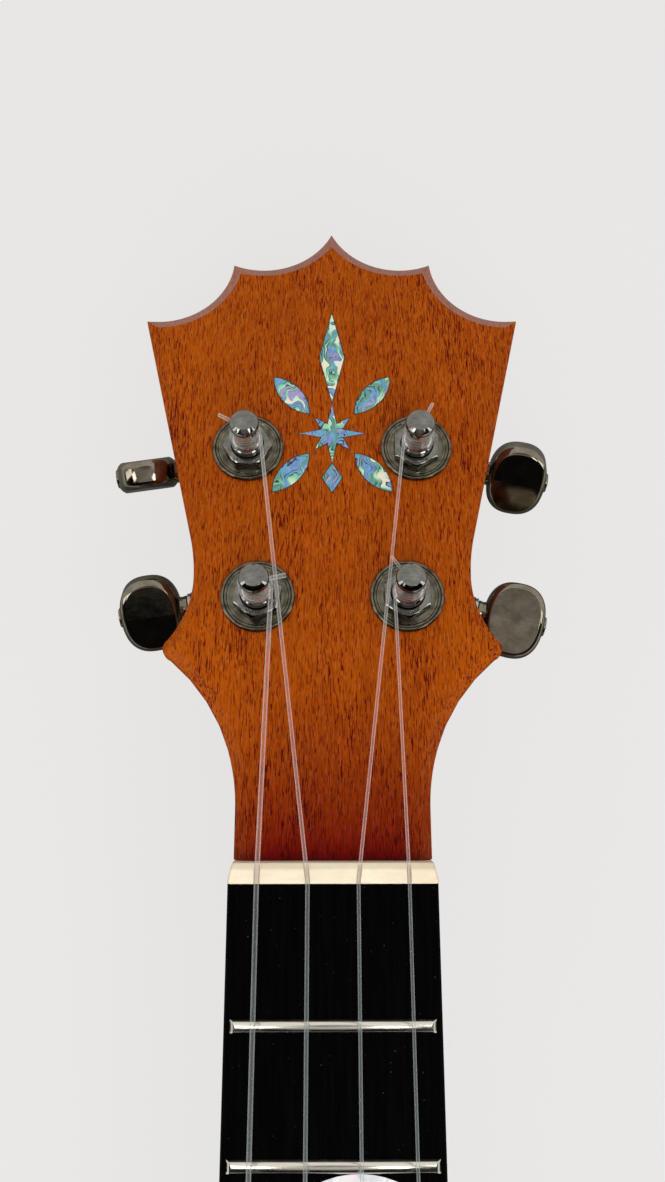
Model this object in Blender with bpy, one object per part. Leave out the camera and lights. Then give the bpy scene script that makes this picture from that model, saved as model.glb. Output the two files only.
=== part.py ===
# Tenor ukulele with four geared tuners. Metres, +Z out of the soundboard, +Y towards the head.
# It lies on its flat back, with the origin under the middle of its bounding box.
import math

import bmesh
import bpy
import numpy as np
from mathutils import Matrix, Vector

# Clearances between neighbouring pieces
GLUE_GAP = 0.00015
SEAT_GAP = 0.0003
RUN_CLEARANCE = 0.0001
SLOT_CLEARANCE = 0.00008

# Strings, scale and fingerboard
SCALE_LENGTH = 0.432
FRET_COUNT = 18
BODY_FRET = 14
BOARD_WIDTH_AT_NUT = 0.0376
BOARD_TAPER = 0.0314
BOARD_THICKNESS = 0.0045
BOARD_END_MARGIN = 0.0075
BOARD_EDGE_CHAMFER = 0.0004
STRING_SPACING_AT_NUT = 0.009
STRING_SPACING_AT_SADDLE = 0.0142
STRING_LIFT_AT_NUT = 0.00125
STRING_LIFT_AT_SADDLE = 0.0052
STRING_G_DIAMETER = 0.00091
STRING_C_DIAMETER = 0.00076
STRING_E_DIAMETER = 0.00066
STRING_A_DIAMETER = 0.00061

# Frets
FRET_WIDTH = 0.0023
FRET_HEIGHT = 0.00105
FRET_INSET = 0.0011
FRET_END_SLOPE = 0.95
TANG_WIDTH = 0.0005
TANG_DEPTH = 0.0013
FRET_ARC_STEPS = 6

# Nut
NUT_THICKNESS = 0.0036
NUT_TOP = 0.0017
NUT_FLAT = 0.0026
NUT_BACK_DROP = 0.0009
NUT_END_DRAW = 0.0005
NUT_SLOT_BREAK = 0.0006

# Neck
NECK_DEPTH_AT_NUT = 0.0135
NECK_DEPTH_AT_HEEL = 0.0155
HEEL_LENGTH = 0.05
HEEL_REACH = 0.075
HEEL_CAP_LENGTH = 0.02
HEEL_CAP_SHARES = (0, 0.35, 0.65, 0.85, 1)
HEEL_SWEEP_SHARES = (0.015, 0.06, 0.15, 0.33, 0.6, 1)
NECK_STEPS = 5
NECK_LAST_ANGLE = math.radians(81)
NECK_ROUNDNESS = 2.3
HEEL_CAP_THICKNESS = 0.0022

# Head
HEAD_TILT = math.radians(10.2)
HEAD_DROP = 0.002
HEAD_THICKNESS = 0.0125
HEADPLATE_THICKNESS = 0.0025
HEAD_LENGTH = 0.1352
HEAD_FOOT_HALF = 0.018
HEAD_SWEEP_START = 0.0093
HEAD_SWEEP_RADIUS = 0.037
HORN_BELOW = 0.0378
HORN_ABOVE = (0.0321, 0.0415)
HORN_RADIUS = 0.0022
WAIST_POINT = (0.02745, 0.0545)
WAIST_RADIUS_BELOW = 0.0205
WAIST_RADIUS_ABOVE = 0.038
SIDE_START = (0.02838, 0.06285)
CORNER_BELOW = (0.0395, 0.1116)
CORNER_ABOVE = (0.0389, 0.11285)
CORNER_RADIUS = 0.0009
MIDDLE_TIP = (0.0214, 0.1271)
SCALLOP_RADIUS_OUTER = 0.016
SCALLOP_RADIUS_INNER = 0.0165
HEAD_EDGE_ROUND = 0.0008
HEAD_UNDERCUT = 0.0034
HORN_UNDERCUT_SHARES = (0.3, 0.4, 0.35)
TONGUE_SECTIONS = ((0.003, 0.0018, 1), (0.013, 0.0048, 0.97), (0.024, 0.0085, 0.7))

# Body
BODY_LENGTH = 0.302
BODY_DEPTH = 0.07
LOWER_BOUT = 0.225
LOWER_BOUT_FROM_TAIL = 0.088
WAIST = 0.142
WAIST_FROM_TAIL = 0.19
UPPER_BOUT = 0.17
UPPER_BOUT_FROM_TAIL = 0.25
NECK_FLAT_HALF = 0.026
LOWER_BOUT_HANDLES = (0.6, 0.56, 0.46)
WAIST_HANDLES = (0.36, 0.42)
UPPER_BOUT_HANDLES = (0.45, 0.6, 0.62)
OUTLINE_STEPS = 7
SOUNDBOARD_THICKNESS = 0.0024
BACK_THICKNESS = 0.0022
SIDE_THICKNESS = 0.002
LINING_THICKNESS = 0.0055
LINING_FOOT = 0.004
LINING_HEIGHT = 0.011
LINING_STOP = 0.006
SOUND_HOLE_RADIUS = 0.028
SOUND_HOLE_FROM_BOARD = 0.0102
NECK_BLOCK = (0.05, 0.032)
TAIL_BLOCK = (0.047, 0.02)
BRACE_WIDTH = 0.006
BRACE_HEIGHT = 0.01
BRACE_SCOOP = 0.3
FAN_WIDTH = 0.0045
FAN_HEIGHT = 0.0062
FAN_SPREAD = 0.03
FAN_ANGLE = math.radians(7)
FAN_BEYOND_PLATE = 0.042
FAN_TIP_LENGTH = 0.0256
FAN_NOTCH_CLEARANCE = 0.001
SIDE_STRUT_HALF = 0.036
SIDE_STRUT_HEIGHT = 0.0035
UPPER_BRACE_FROM_HOLE = 0.0355
LOWER_BRACE_FROM_HOLE = 0.0405
BACK_BRACE_WIDTH = 0.007
BACK_BRACE_HEIGHT = 0.009
BACK_STRIP_WIDTH = 0.016
BACK_STRIP_HEIGHT = 0.0022
BACK_BRACES_FROM_TAIL = (0.068, 0.14)
BACK_BRACE_FROM_BLOCK = 0.03

# Bridge
BRIDGE_LENGTH = 0.094
BRIDGE_BLOCK_LENGTH = 0.062
BRIDGE_WIDTH = 0.022
BRIDGE_HEIGHT = 0.0076
BRIDGE_WING_HEIGHT = 0.0034
BRIDGE_FRONT = 0.0062
TIE_BLOCK_WIDTH = 0.0075
TIE_HOLE_HEIGHT = 0.0042
TIE_HOLE_RADIUS = 0.0008
TIE_TAIL = 0.0016
SADDLE_THICKNESS = 0.0026
SADDLE_LENGTH = 0.06
SADDLE_SLOT_DEPTH = 0.0042
SADDLE_COMPENSATION = 0.0015
BRIDGE_PLATE_LENGTH = 0.1
BRIDGE_PLATE_WIDTH = 0.03
BRIDGE_PLATE_THICKNESS = 0.0022

# Tuners, each with its place on the head, the lean of its shaft, the turn of its button,
# the turn of its hex and the direction in which the string's tail leaves the post
LOWER_POST = (0.0146, 0.05)
UPPER_POST = (0.0172, 0.0819)
TUNERS = {
    "upper_bass": (-1, UPPER_POST, 8.5, 66, 0, 151),
    "lower_bass": (-1, LOWER_POST, 9.0, -37, 18, 12),
    "upper_treble": (1, UPPER_POST, 10.5, 50, 29, 63),
    "lower_treble": (1, LOWER_POST, 13.0, 20, 33, 125),
}
STRINGS = {
    "string_g": (-1.5, STRING_G_DIAMETER, "lower_bass"),
    "string_c": (-0.5, STRING_C_DIAMETER, "upper_bass"),
    "string_e": (0.5, STRING_E_DIAMETER, "upper_treble"),
    "string_a": (1.5, STRING_A_DIAMETER, "lower_treble"),
}
POST_RISE = 0.0124
CAP_RADIUS = 0.00278
CAP_HEIGHT = 0.001
CAP_BEVEL = 0.0003
CAP_GROOVE_RADIUS = 0.0023
CAP_GROOVE_HEIGHT = 0.0002
BARREL_RADIUS = 0.0026
BARREL_HEIGHT = 0.006
BARREL_FLARE = 0.0004
POST_RADIUS = 0.0032
POST_PIVOT_RADIUS = 0.0015
POST_PIVOT_LENGTH = 0.0014
STRING_HOLE_RADIUS = 0.00078
STRING_HOLE_BELOW_CAP = 0.00085
POST_HOLE_RADIUS = 0.0047
WASHER_RADIUS = 0.00725
WASHER_THICKNESS = 0.00095
WASHER_BEVEL = 0.0003
HEX_ACROSS_FLATS = 0.009
HEX_HEIGHT = 0.0029
HEX_CROWN_RADIUS = 0.0038
HEX_CROWN_SLOPE = 0.6
SLEEVE_RADIUS = 0.0044
SLEEVE_SHORT = 0.001
TURNED_SEGMENTS = 16

# Worm gear
GEAR_PITCH = 0.001634
WHEEL_TEETH = 14
WORM_PITCH_RADIUS = 0.0023
TOOTH_RISE = 0.00045
TOOTH_FALL = 0.0006
WHEEL_TOOTH_SHARE = 0.46
WORM_THREAD_SHARE = 0.4
FLANK_SLOPE = 0.364
WHEEL_THICKNESS = 0.003
WORM_TURNS = 3.3
WORM_ROW_TURNS = 5
WORM_FADE = 0.6
WORM_SEGMENTS = 12
SHAFT_DEPTH = 0.0178
SHAFT_RADIUS = 0.0019
SHAFT_TAIL_RADIUS = 0.0011
SHAFT_TAIL_LENGTH = 0.0014

# Tuner housing and button
HOUSING_HALF_LENGTH = 0.0075
HOUSING_WALL = 0.0014
HOUSING_FLOOR = 0.0012
HOUSING_CORNER = 0.0022
HOUSING_BEVEL = 0.0012
COLLAR_REACH = 0.0143
COLLAR_RADIUS = 0.0031
COLLAR_ROOT_RADIUS = 0.0042
EAR_LENGTH = 0.0058
EAR_WIDTH = 0.0062
EAR_THICKNESS = 0.0017
EAR_HOLE_RADIUS = 0.0011
THRUST_WASHER_RADIUS = 0.003
THRUST_WASHER_THICKNESS = 0.0006
BUTTON_NECK_RADIUS = 0.0027
BUTTON_NECK_LENGTH = 0.0015
BUTTON_LENGTH = 0.0127
BUTTON_WIDTH = 0.016
BUTTON_THICKNESS = 0.0062
BUTTON_BEVEL = 0.001
BUTTON_CROWN = 0.00022
BUTTON_SQUARENESS = 2.5
BUTTON_STEPS = 9
BUTTON_END_CUT = 0.03
BUTTON_BEVEL_CORNER = 0.3
BUTTON_GRIP = 0.004

# String windings
WIND_START_ABOVE_BARREL = 0.0008
WIND_CLEARANCE = 0.00012
WIND_TURNS = 2
WIND_POINTS = 24
WIND_LAST_CLEARANCE = 0.00046
WIND_BEND_RADIUS = 0.0006
WIND_BEND_STEPS = 4
STRING_TAIL = 0.0026

# Places that follow from the driving dimensions
BODY_JOINT = SCALE_LENGTH * (1 - 2 ** (-BODY_FRET / 12))
BODY_TAIL = BODY_JOINT + BODY_LENGTH
BOARD_LENGTH = SCALE_LENGTH * (1 - 2 ** (-FRET_COUNT / 12)) + BOARD_END_MARGIN
BOARD_TOP = BODY_DEPTH + BOARD_THICKNESS
SOUND_HOLE_FROM_NUT = BOARD_LENGTH + SOUND_HOLE_FROM_BOARD + SOUND_HOLE_RADIUS
HEAD_REACH = NUT_THICKNESS + HEAD_LENGTH * math.cos(HEAD_TILT)
NUT_Y = (BODY_TAIL - HEAD_REACH) / 2
SADDLE_DISTANCE = SCALE_LENGTH + SADDLE_COMPENSATION
SADDLE_TOP = BOARD_TOP + STRING_LIFT_AT_SADDLE
WHEEL_PITCH_RADIUS = WHEEL_TEETH * GEAR_PITCH / (2 * math.pi)
GEAR_CENTRES = WHEEL_PITCH_RADIUS + WORM_PITCH_RADIUS
WHEEL_TIP_RADIUS = WHEEL_PITCH_RADIUS + TOOTH_RISE
WORM_CREST_RADIUS = WORM_PITCH_RADIUS + TOOTH_RISE
WORM_ROOT_RADIUS = WORM_PITCH_RADIUS - TOOTH_FALL
WASHER_TOP = GLUE_GAP + WASHER_THICKNESS
BARREL_TOP = POST_RISE - CAP_HEIGHT - CAP_GROOVE_HEIGHT
BARREL_BOTTOM = BARREL_TOP - BARREL_HEIGHT
STRING_HOLE_Z = BARREL_TOP - STRING_HOLE_BELOW_CAP
HEAD_FRAME = (
    Matrix.Translation((0, NUT_Y + NUT_THICKNESS, BOARD_TOP - HEAD_DROP))
    @ Matrix.Rotation(-HEAD_TILT, 4, "X")
)


# Scene helpers
def clear_scene():
    for obj in list(bpy.data.objects):
        bpy.data.objects.remove(obj, do_unlink=True)


def make_material(name, colour, roughness, metallic=0.0):
    material = bpy.data.materials.new(name)
    material.use_nodes = True
    material.diffuse_color = (*colour, 1)
    shader = material.node_tree.nodes["Principled BSDF"]
    shader.inputs["Base Color"].default_value = (*colour, 1)
    shader.inputs["Roughness"].default_value = roughness
    shader.inputs["Metallic"].default_value = metallic
    return material


def place(obj, parent=None, matrix=None):
    bpy.context.scene.collection.objects.link(obj)
    if parent:
        obj.parent = parent
    if matrix:
        obj.matrix_basis = matrix
    return obj


def add_empty(name, parent, matrix):
    return place(bpy.data.objects.new(name, None), parent, matrix)


def add_solid(name, mesh_builder, material, parent=None, matrix=None, smooth=None):
    bmesh.ops.recalc_face_normals(mesh_builder, faces=mesh_builder.faces)
    mesh = bpy.data.meshes.new(name)
    mesh_builder.to_mesh(mesh)
    mesh_builder.free()
    if smooth:
        mesh.shade_smooth()
        mesh.set_sharp_from_angle(angle=math.radians(smooth))
    mesh.materials.append(material)
    return place(bpy.data.objects.new(name, mesh), parent, matrix)


def boolean(target, operation, cutter):
    cutter.hide_render = True
    cutter.display_type = "WIRE"
    modifier = target.modifiers.new(cutter.name, "BOOLEAN")
    modifier.operation = operation
    modifier.solver = "EXACT"
    modifier.object = cutter


# Mesh helpers
def join_rings(shape, first, second):
    count = len(first)
    for i in range(count):
        j = (i + 1) % count
        shape.faces.new((first[i], first[j], second[j], second[i]))


def ring_solid(rings, closed=False):
    shape = bmesh.new()
    loops = [[shape.verts.new(point) for point in ring] for ring in rings]
    pairs = list(zip(loops, loops[1:]))
    if closed:
        pairs.append((loops[-1], loops[0]))
    for lower, upper in pairs:
        join_rings(shape, lower, upper)
    if not closed:
        shape.faces.new(loops[0])
        shape.faces.new(loops[-1])
    return shape


def turned_ring(radius, height, segments=TURNED_SEGMENTS):
    turns = [2 * math.pi * i / segments for i in range(segments)]
    return [Vector((radius * math.cos(a), radius * math.sin(a), height)) for a in turns]


def turned(profile, segments=TURNED_SEGMENTS, closed=False):
    return ring_solid([turned_ring(r, z, segments) for r, z in profile], closed)


def extruded(outline, bottom, top):
    lower = [Vector((x, y, bottom)) for x, y in outline]
    upper = [Vector((x, y, top)) for x, y in outline]
    return ring_solid([lower, upper])


def boxed(x, y, z):
    return extruded([(x[0], y[0]), (x[1], y[0]), (x[1], y[1]), (x[0], y[1])], z[0], z[1])


def side_profile(profile, half_width):
    left = [Vector((-half_width, y, z)) for y, z in profile]
    right = [Vector((half_width, y, z)) for y, z in profile]
    return ring_solid([left, right])


def add_box_to(shape, x, y, z):
    other = boxed(x, y, z)
    mesh = bpy.data.meshes.new("box")
    other.to_mesh(mesh)
    other.free()
    shape.from_mesh(mesh)
    bpy.data.meshes.remove(mesh)


# Points on a circular arc from start to end, without the start. The centre lies to the
# left of the way for a positive radius, to the right for a negative one.
def arc_points(start, end, radius, steps):
    start = Vector(start)
    end = Vector(end)
    chord = end - start
    middle = (start + end) / 2
    reach = math.sqrt(max(radius * radius - chord.length_squared / 4, 0))
    left = Vector((-chord.y, chord.x)).normalized()
    centre = middle + left * math.copysign(reach, radius)
    first = start - centre
    angle = first.angle_signed(end - centre)
    return [
        tuple(centre + Matrix.Rotation(-angle * i / steps, 2) @ first)
        for i in range(1, steps + 1)
    ]


def bezier_points(start, handle_1, handle_2, end, steps):
    points = []
    for i in range(1, steps + 1):
        t = i / steps
        s = 1 - t
        weights = (s**3, 3 * s * s * t, 3 * s * t * t, t**3)
        ways = (start, handle_1, handle_2, end)
        points.append(tuple(sum(w * p[k] for w, p in zip(weights, ways)) for k in (0, 1)))
    return points


def mirrored(half):
    left = [(-x, y) for x, y in reversed(half) if abs(x) > 1e-6]
    return half + left


# Y of a point that lies a distance from the nut towards the tail
def from_nut(distance):
    return NUT_Y - distance


def board_half_width(distance):
    return (BOARD_WIDTH_AT_NUT + BOARD_TAPER * distance) / 2


def fret_distance(number):
    return SCALE_LENGTH * (1 - 2 ** (-number / 12))


# Body
def body_half_outline():
    tail = (0.0, from_nut(BODY_TAIL))
    lower = (LOWER_BOUT / 2, tail[1] + LOWER_BOUT_FROM_TAIL)
    waist = (WAIST / 2, tail[1] + WAIST_FROM_TAIL)
    upper = (UPPER_BOUT / 2, tail[1] + UPPER_BOUT_FROM_TAIL)
    neck = (NECK_FLAT_HALF, tail[1] + BODY_LENGTH)
    low_rise = lower[1] - tail[1]
    low_run = waist[1] - lower[1]
    high_run = upper[1] - waist[1]
    shoulder = neck[1] - upper[1]
    points = [tail]
    out_of_tail = (lower[0] * LOWER_BOUT_HANDLES[0], tail[1])
    into_lower = (lower[0], lower[1] - low_rise * LOWER_BOUT_HANDLES[1])
    points += bezier_points(tail, out_of_tail, into_lower, lower, OUTLINE_STEPS + 1)
    out_of_lower = (lower[0], lower[1] + low_run * LOWER_BOUT_HANDLES[2])
    into_waist = (waist[0], waist[1] - low_run * WAIST_HANDLES[0])
    points += bezier_points(lower, out_of_lower, into_waist, waist, OUTLINE_STEPS)
    out_of_waist = (waist[0], waist[1] + high_run * WAIST_HANDLES[1])
    into_upper = (upper[0], upper[1] - high_run * UPPER_BOUT_HANDLES[0])
    points += bezier_points(waist, out_of_waist, into_upper, upper, OUTLINE_STEPS - 2)
    out_of_upper = (upper[0], upper[1] + shoulder * UPPER_BOUT_HANDLES[1])
    into_neck = (upper[0] * UPPER_BOUT_HANDLES[2], neck[1])
    points += bezier_points(upper, out_of_upper, into_neck, neck, OUTLINE_STEPS)
    return points + [(0.0, neck[1])]


def inward_normals(points):
    normals = []
    for i, point in enumerate(points):
        before = Vector(points[max(i - 1, 0)])
        after = Vector(points[min(i + 1, len(points) - 1)])
        way = (after - before).normalized()
        normals.append(Vector((-way.y, way.x)))
    normals[0] = Vector((0, 1))
    normals[-1] = Vector((0, -1))
    return normals


def make_body(wood, spruce):
    outline = body_half_outline()
    full = mirrored(outline)
    soundboard = add_solid(
        "soundboard", extruded(full, BODY_DEPTH - SOUNDBOARD_THICKNESS, BODY_DEPTH), wood
    )
    hole = add_solid(
        "sound_hole_cutter",
        turned([(SOUND_HOLE_RADIUS, -BODY_DEPTH), (SOUND_HOLE_RADIUS, BODY_DEPTH)], 32),
        wood,
        matrix=Matrix.Translation((0, from_nut(SOUND_HOLE_FROM_NUT), BODY_DEPTH)),
    )
    boolean(soundboard, "DIFFERENCE", hole)
    add_solid("back_plate", extruded(full, 0, BACK_THICKNESS), wood)
    make_side("bass_side", outline, -1, wood)
    make_side("treble_side", outline, 1, wood)
    make_blocks(spruce)
    make_top_bracing(spruce)
    make_back_bracing(spruce)


# One bent side with its two glued linings, swept along half of the outline
def make_side(name, outline, side, wood):
    low = BACK_THICKNESS + GLUE_GAP
    high = BODY_DEPTH - SOUNDBOARD_THICKNESS - GLUE_GAP
    wall = SIDE_THICKNESS
    rings = []
    for point, normal in zip(outline, inward_normals(outline)):
        near_block = point[0] < NECK_BLOCK[0] / 2 + LINING_STOP
        lining = wall if near_block else LINING_THICKNESS
        section = [
            (0, low),
            (0, high),
            (lining, high),
            (lining, high - LINING_FOOT),
            (wall, high - LINING_HEIGHT),
            (wall, low + LINING_HEIGHT),
            (lining, low + LINING_FOOT),
            (lining, low),
        ]
        ring = []
        for depth, z in section:
            x = max(point[0] + normal.x * depth, SEAT_GAP / 2)
            ring.append(Vector((side * x, point[1] + normal.y * depth, z)))
        rings.append(ring)
    add_solid(name, ring_solid(rings), wood, smooth=40)


def make_blocks(spruce):
    low = BACK_THICKNESS + GLUE_GAP
    high = BODY_DEPTH - SOUNDBOARD_THICKNESS - GLUE_GAP
    inner_top = from_nut(BODY_JOINT) - SIDE_THICKNESS - GLUE_GAP
    half = NECK_BLOCK[0] / 2
    add_solid(
        "neck_block",
        boxed((-half, half), (inner_top - NECK_BLOCK[1], inner_top), (low, high)),
        spruce,
    )
    tail, beside = body_half_outline()[:2]
    half = TAIL_BLOCK[0] / 2
    middle = tail[1] + SIDE_THICKNESS + SEAT_GAP
    corner = middle + half * (beside[1] - tail[1]) / beside[0]
    inner = middle + TAIL_BLOCK[1]
    outline = [(0, middle), (half, corner), (half, inner), (-half, inner), (-half, corner)]
    add_solid("tail_block", extruded(outline, low, high), spruce)


# Inner half-width of the body at a height along Y, clear of the linings
def inner_half_width(y):
    outline = body_half_outline()
    for (x0, y0), (x1, y1) in zip(outline, outline[1:]):
        if y0 <= y <= y1:
            return x0 + (x1 - x0) * (y - y0) / (y1 - y0) - LINING_THICKNESS - SEAT_GAP * 4
    return 0.0


# A bar across the body, scooped down to a third of its height at both ends
def cross_bar(y, width, height, root, up):
    half = min(inner_half_width(y - width / 2), inner_half_width(y + width / 2))
    scoop = half * BRACE_SCOOP
    tip = root + up * height / 3
    full = root + up * height
    profile = [
        (-half, root),
        (half, root),
        (half, tip),
        (half - scoop, full),
        (scoop - half, full),
        (-half, tip),
    ]
    near = [Vector((x, y - width / 2, z)) for x, z in profile]
    far = [Vector((x, y + width / 2, z)) for x, z in profile]
    return ring_solid([near, far])


def make_top_bracing(spruce):
    root = BODY_DEPTH - SOUNDBOARD_THICKNESS - GLUE_GAP
    hole_y = from_nut(SOUND_HOLE_FROM_NUT)
    upper_y = hole_y + UPPER_BRACE_FROM_HOLE
    lower_y = hole_y - LOWER_BRACE_FROM_HOLE
    bracing = add_solid("top_bracing", cross_bar(lower_y, BRACE_WIDTH, BRACE_HEIGHT, root, -1), spruce)
    upper_bar = cross_bar(upper_y, BRACE_WIDTH, BRACE_HEIGHT, root, -1)
    boolean(bracing, "UNION", add_solid("upper_bar_form", upper_bar, spruce))
    for side in (-1, 1):
        centre = side * SIDE_STRUT_HALF
        strut = boxed(
            (centre - BRACE_WIDTH / 2, centre + BRACE_WIDTH / 2),
            (lower_y, upper_y),
            (root - SIDE_STRUT_HEIGHT, root),
        )
        boolean(bracing, "UNION", add_solid("side_strut_form", strut, spruce))
    for place_across in (-1, 0, 1):
        boolean(bracing, "UNION", make_fan_brace(place_across, lower_y, root, spruce))


# A fan brace runs from the lower bar towards the tail and arches over the bridge plate
def make_fan_brace(place_across, start_y, root, spruce):
    lean = place_across * FAN_ANGLE
    stretch = 1 / math.cos(lean)
    notch_half = BRIDGE_PLATE_WIDTH / 2 + FAN_NOTCH_CLEARANCE
    notch_middle = (start_y - from_nut(SADDLE_DISTANCE)) * stretch
    plate_high = notch_middle - notch_half * stretch - FAN_WIDTH / 2
    plate_low = notch_middle + notch_half * stretch + FAN_WIDTH / 2
    end = plate_low + FAN_BEYOND_PLATE
    notch = root - BRIDGE_PLATE_THICKNESS - GLUE_GAP
    tip = root - FAN_HEIGHT / 3
    full = root - FAN_HEIGHT
    profile = [
        (0, root),
        (-plate_high, root),
        (-plate_high, notch),
        (-plate_low, notch),
        (-plate_low, root),
        (-end, root),
        (-end, tip),
        (FAN_TIP_LENGTH - end, full),
        (0, full),
    ]
    matrix = Matrix.Translation((place_across * FAN_SPREAD, start_y, 0)) @ Matrix.Rotation(lean, 4, "Z")
    return add_solid("fan_form", side_profile(profile, FAN_WIDTH / 2), spruce, matrix=matrix)


def make_back_bracing(spruce):
    root = BACK_THICKNESS + GLUE_GAP
    tail = from_nut(BODY_TAIL)
    block = from_nut(BODY_JOINT) - SIDE_THICKNESS - NECK_BLOCK[1]
    heights = [tail + distance for distance in BACK_BRACES_FROM_TAIL]
    heights.append(block - BACK_BRACE_FROM_BLOCK)
    strip_low = tail + SIDE_THICKNESS + TAIL_BLOCK[1] + SEAT_GAP * 8
    strip_high = block - SEAT_GAP * 2
    half = BACK_STRIP_WIDTH / 2
    strip = boxed((-half, half), (strip_low, strip_high), (root, root + BACK_STRIP_HEIGHT))
    bracing = add_solid("back_bracing", strip, spruce)
    for y in heights:
        bar = cross_bar(y, BACK_BRACE_WIDTH, BACK_BRACE_HEIGHT, root, 1)
        boolean(bracing, "UNION", add_solid("back_bar_form", bar, spruce))


# Bridge, saddle and the plate under them
def make_bridge(rosewood, bone, spruce):
    base = BODY_DEPTH + GLUE_GAP
    front = from_nut(SADDLE_DISTANCE) + BRIDGE_FRONT
    back = front - BRIDGE_WIDTH
    saddle_front = from_nut(SADDLE_DISTANCE) + SADDLE_THICKNESS / 2
    saddle_back = saddle_front - SADDLE_THICKNESS
    slot_floor = base + BRIDGE_HEIGHT - SADDLE_SLOT_DEPTH
    top = base + BRIDGE_HEIGHT
    valley = base + TIE_HOLE_HEIGHT - TIE_HOLE_RADIUS - SEAT_GAP
    tie_front = back + TIE_BLOCK_WIDTH
    profile = [
        (front, base),
        (front, base + BRIDGE_HEIGHT * 0.55),
        (saddle_front + BRIDGE_FRONT * 0.35, top),
        (saddle_front + SLOT_CLEARANCE, top),
        (saddle_front + SLOT_CLEARANCE, slot_floor),
        (saddle_back - SLOT_CLEARANCE, slot_floor),
        (saddle_back - SLOT_CLEARANCE, top),
        (saddle_back - SADDLE_THICKNESS / 2, top),
        (tie_front + SADDLE_THICKNESS, valley),
        (tie_front, valley),
        (tie_front, top - SEAT_GAP * 2),
        (tie_front - SEAT_GAP * 2, top),
        (back + SEAT_GAP * 4, top),
        (back, top - SEAT_GAP * 4),
        (back, base),
    ]
    bridge = add_solid("bridge", side_profile(profile, BRIDGE_BLOCK_LENGTH / 2), rosewood)
    wing_top = base + BRIDGE_WING_HEIGHT
    wing_profile = [
        (front, base),
        (front, wing_top - SEAT_GAP * 3),
        (front - SEAT_GAP * 4, wing_top),
        (back + SEAT_GAP * 4, wing_top),
        (back, wing_top - SEAT_GAP * 3),
        (back, base),
    ]
    wings = add_solid("bridge_wing_form", side_profile(wing_profile, BRIDGE_LENGTH / 2), rosewood)
    boolean(bridge, "UNION", wings)
    slot_ends = BRIDGE_BLOCK_LENGTH / 2 + SEAT_GAP
    slot = boxed(
        (-slot_ends, slot_ends),
        (saddle_back - SLOT_CLEARANCE, saddle_front + SLOT_CLEARANCE),
        (slot_floor, top + BRIDGE_HEIGHT),
    )
    boolean(bridge, "DIFFERENCE", add_solid("saddle_slot_cutter", slot, rosewood))
    for name, (place_across, diameter, tuner) in STRINGS.items():
        hole = turned([(TIE_HOLE_RADIUS, -TIE_BLOCK_WIDTH), (TIE_HOLE_RADIUS, TIE_BLOCK_WIDTH)], 10)
        x = place_across * STRING_SPACING_AT_SADDLE
        middle = Vector((x, back + TIE_BLOCK_WIDTH / 2, base + TIE_HOLE_HEIGHT))
        matrix = Matrix.Translation(middle) @ Matrix.Rotation(math.pi / 2, 4, "X")
        boolean(bridge, "DIFFERENCE", add_solid("tie_hole_cutter_" + name, hole, rosewood, matrix=matrix))
    crown = SADDLE_THICKNESS / 2
    saddle_top = [(crown * math.cos(a), crown * math.sin(a)) for a in np.linspace(0, math.pi, 7)]
    middle_y = from_nut(SADDLE_DISTANCE)
    profile = [(middle_y + y, SADDLE_TOP - crown + z) for y, z in saddle_top]
    profile += [(saddle_back, slot_floor + SEAT_GAP / 3), (saddle_front, slot_floor + SEAT_GAP / 3)]
    add_solid("saddle", side_profile(profile, SADDLE_LENGTH / 2), bone, smooth=40)
    plate_top = BODY_DEPTH - SOUNDBOARD_THICKNESS - GLUE_GAP
    add_solid(
        "bridge_plate",
        boxed(
            (-BRIDGE_PLATE_LENGTH / 2, BRIDGE_PLATE_LENGTH / 2),
            (middle_y - BRIDGE_PLATE_WIDTH / 2, middle_y + BRIDGE_PLATE_WIDTH / 2),
            (plate_top - BRIDGE_PLATE_THICKNESS, plate_top),
        ),
        spruce,
    )


# Neck: sections from the heel to the nut, each a rounded D under a flat top. The angle at
# which a side reaches the floor, or the bottom of the D if that comes first
def last_section_angle(depth, tallest):
    if depth <= tallest:
        return NECK_LAST_ANGLE
    return min(math.asin((tallest / depth) ** (NECK_ROUNDNESS / 2)), NECK_LAST_ANGLE)


def neck_section(distance, top, depth, tallest, half):
    power = 2 / NECK_ROUNDNESS
    last = last_section_angle(depth, tallest)
    side = []
    for i in range(NECK_STEPS):
        a = last * i / (NECK_STEPS - 1)
        side.append((half * math.cos(a) ** power, top - min(depth * math.sin(a) ** power, tallest)))
    right = [Vector((x, from_nut(distance), z)) for x, z in side]
    left = [Vector((-x, from_nut(distance), z)) for x, z in reversed(side)]
    return right + left


# Depth of the neck and its heel, at a distance before the body
def neck_depth(before_body, tallest):
    along = max(1 - before_body / BODY_JOINT, 0)
    plain = NECK_DEPTH_AT_NUT + (NECK_DEPTH_AT_HEEL - NECK_DEPTH_AT_NUT) * along
    if before_body >= HEEL_LENGTH:
        return plain
    if before_body <= HEEL_CAP_LENGTH:
        share = before_body / HEEL_CAP_LENGTH
        return HEEL_REACH + (tallest / math.sin(NECK_LAST_ANGLE) - HEEL_REACH) * share**2
    share = (before_body - HEEL_CAP_LENGTH) / (HEEL_LENGTH - HEEL_CAP_LENGTH)
    rise = 1 - math.sqrt(1 - (1 - share) ** 2)
    return plain + (tallest / math.sin(NECK_LAST_ANGLE) - plain) * rise


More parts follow.
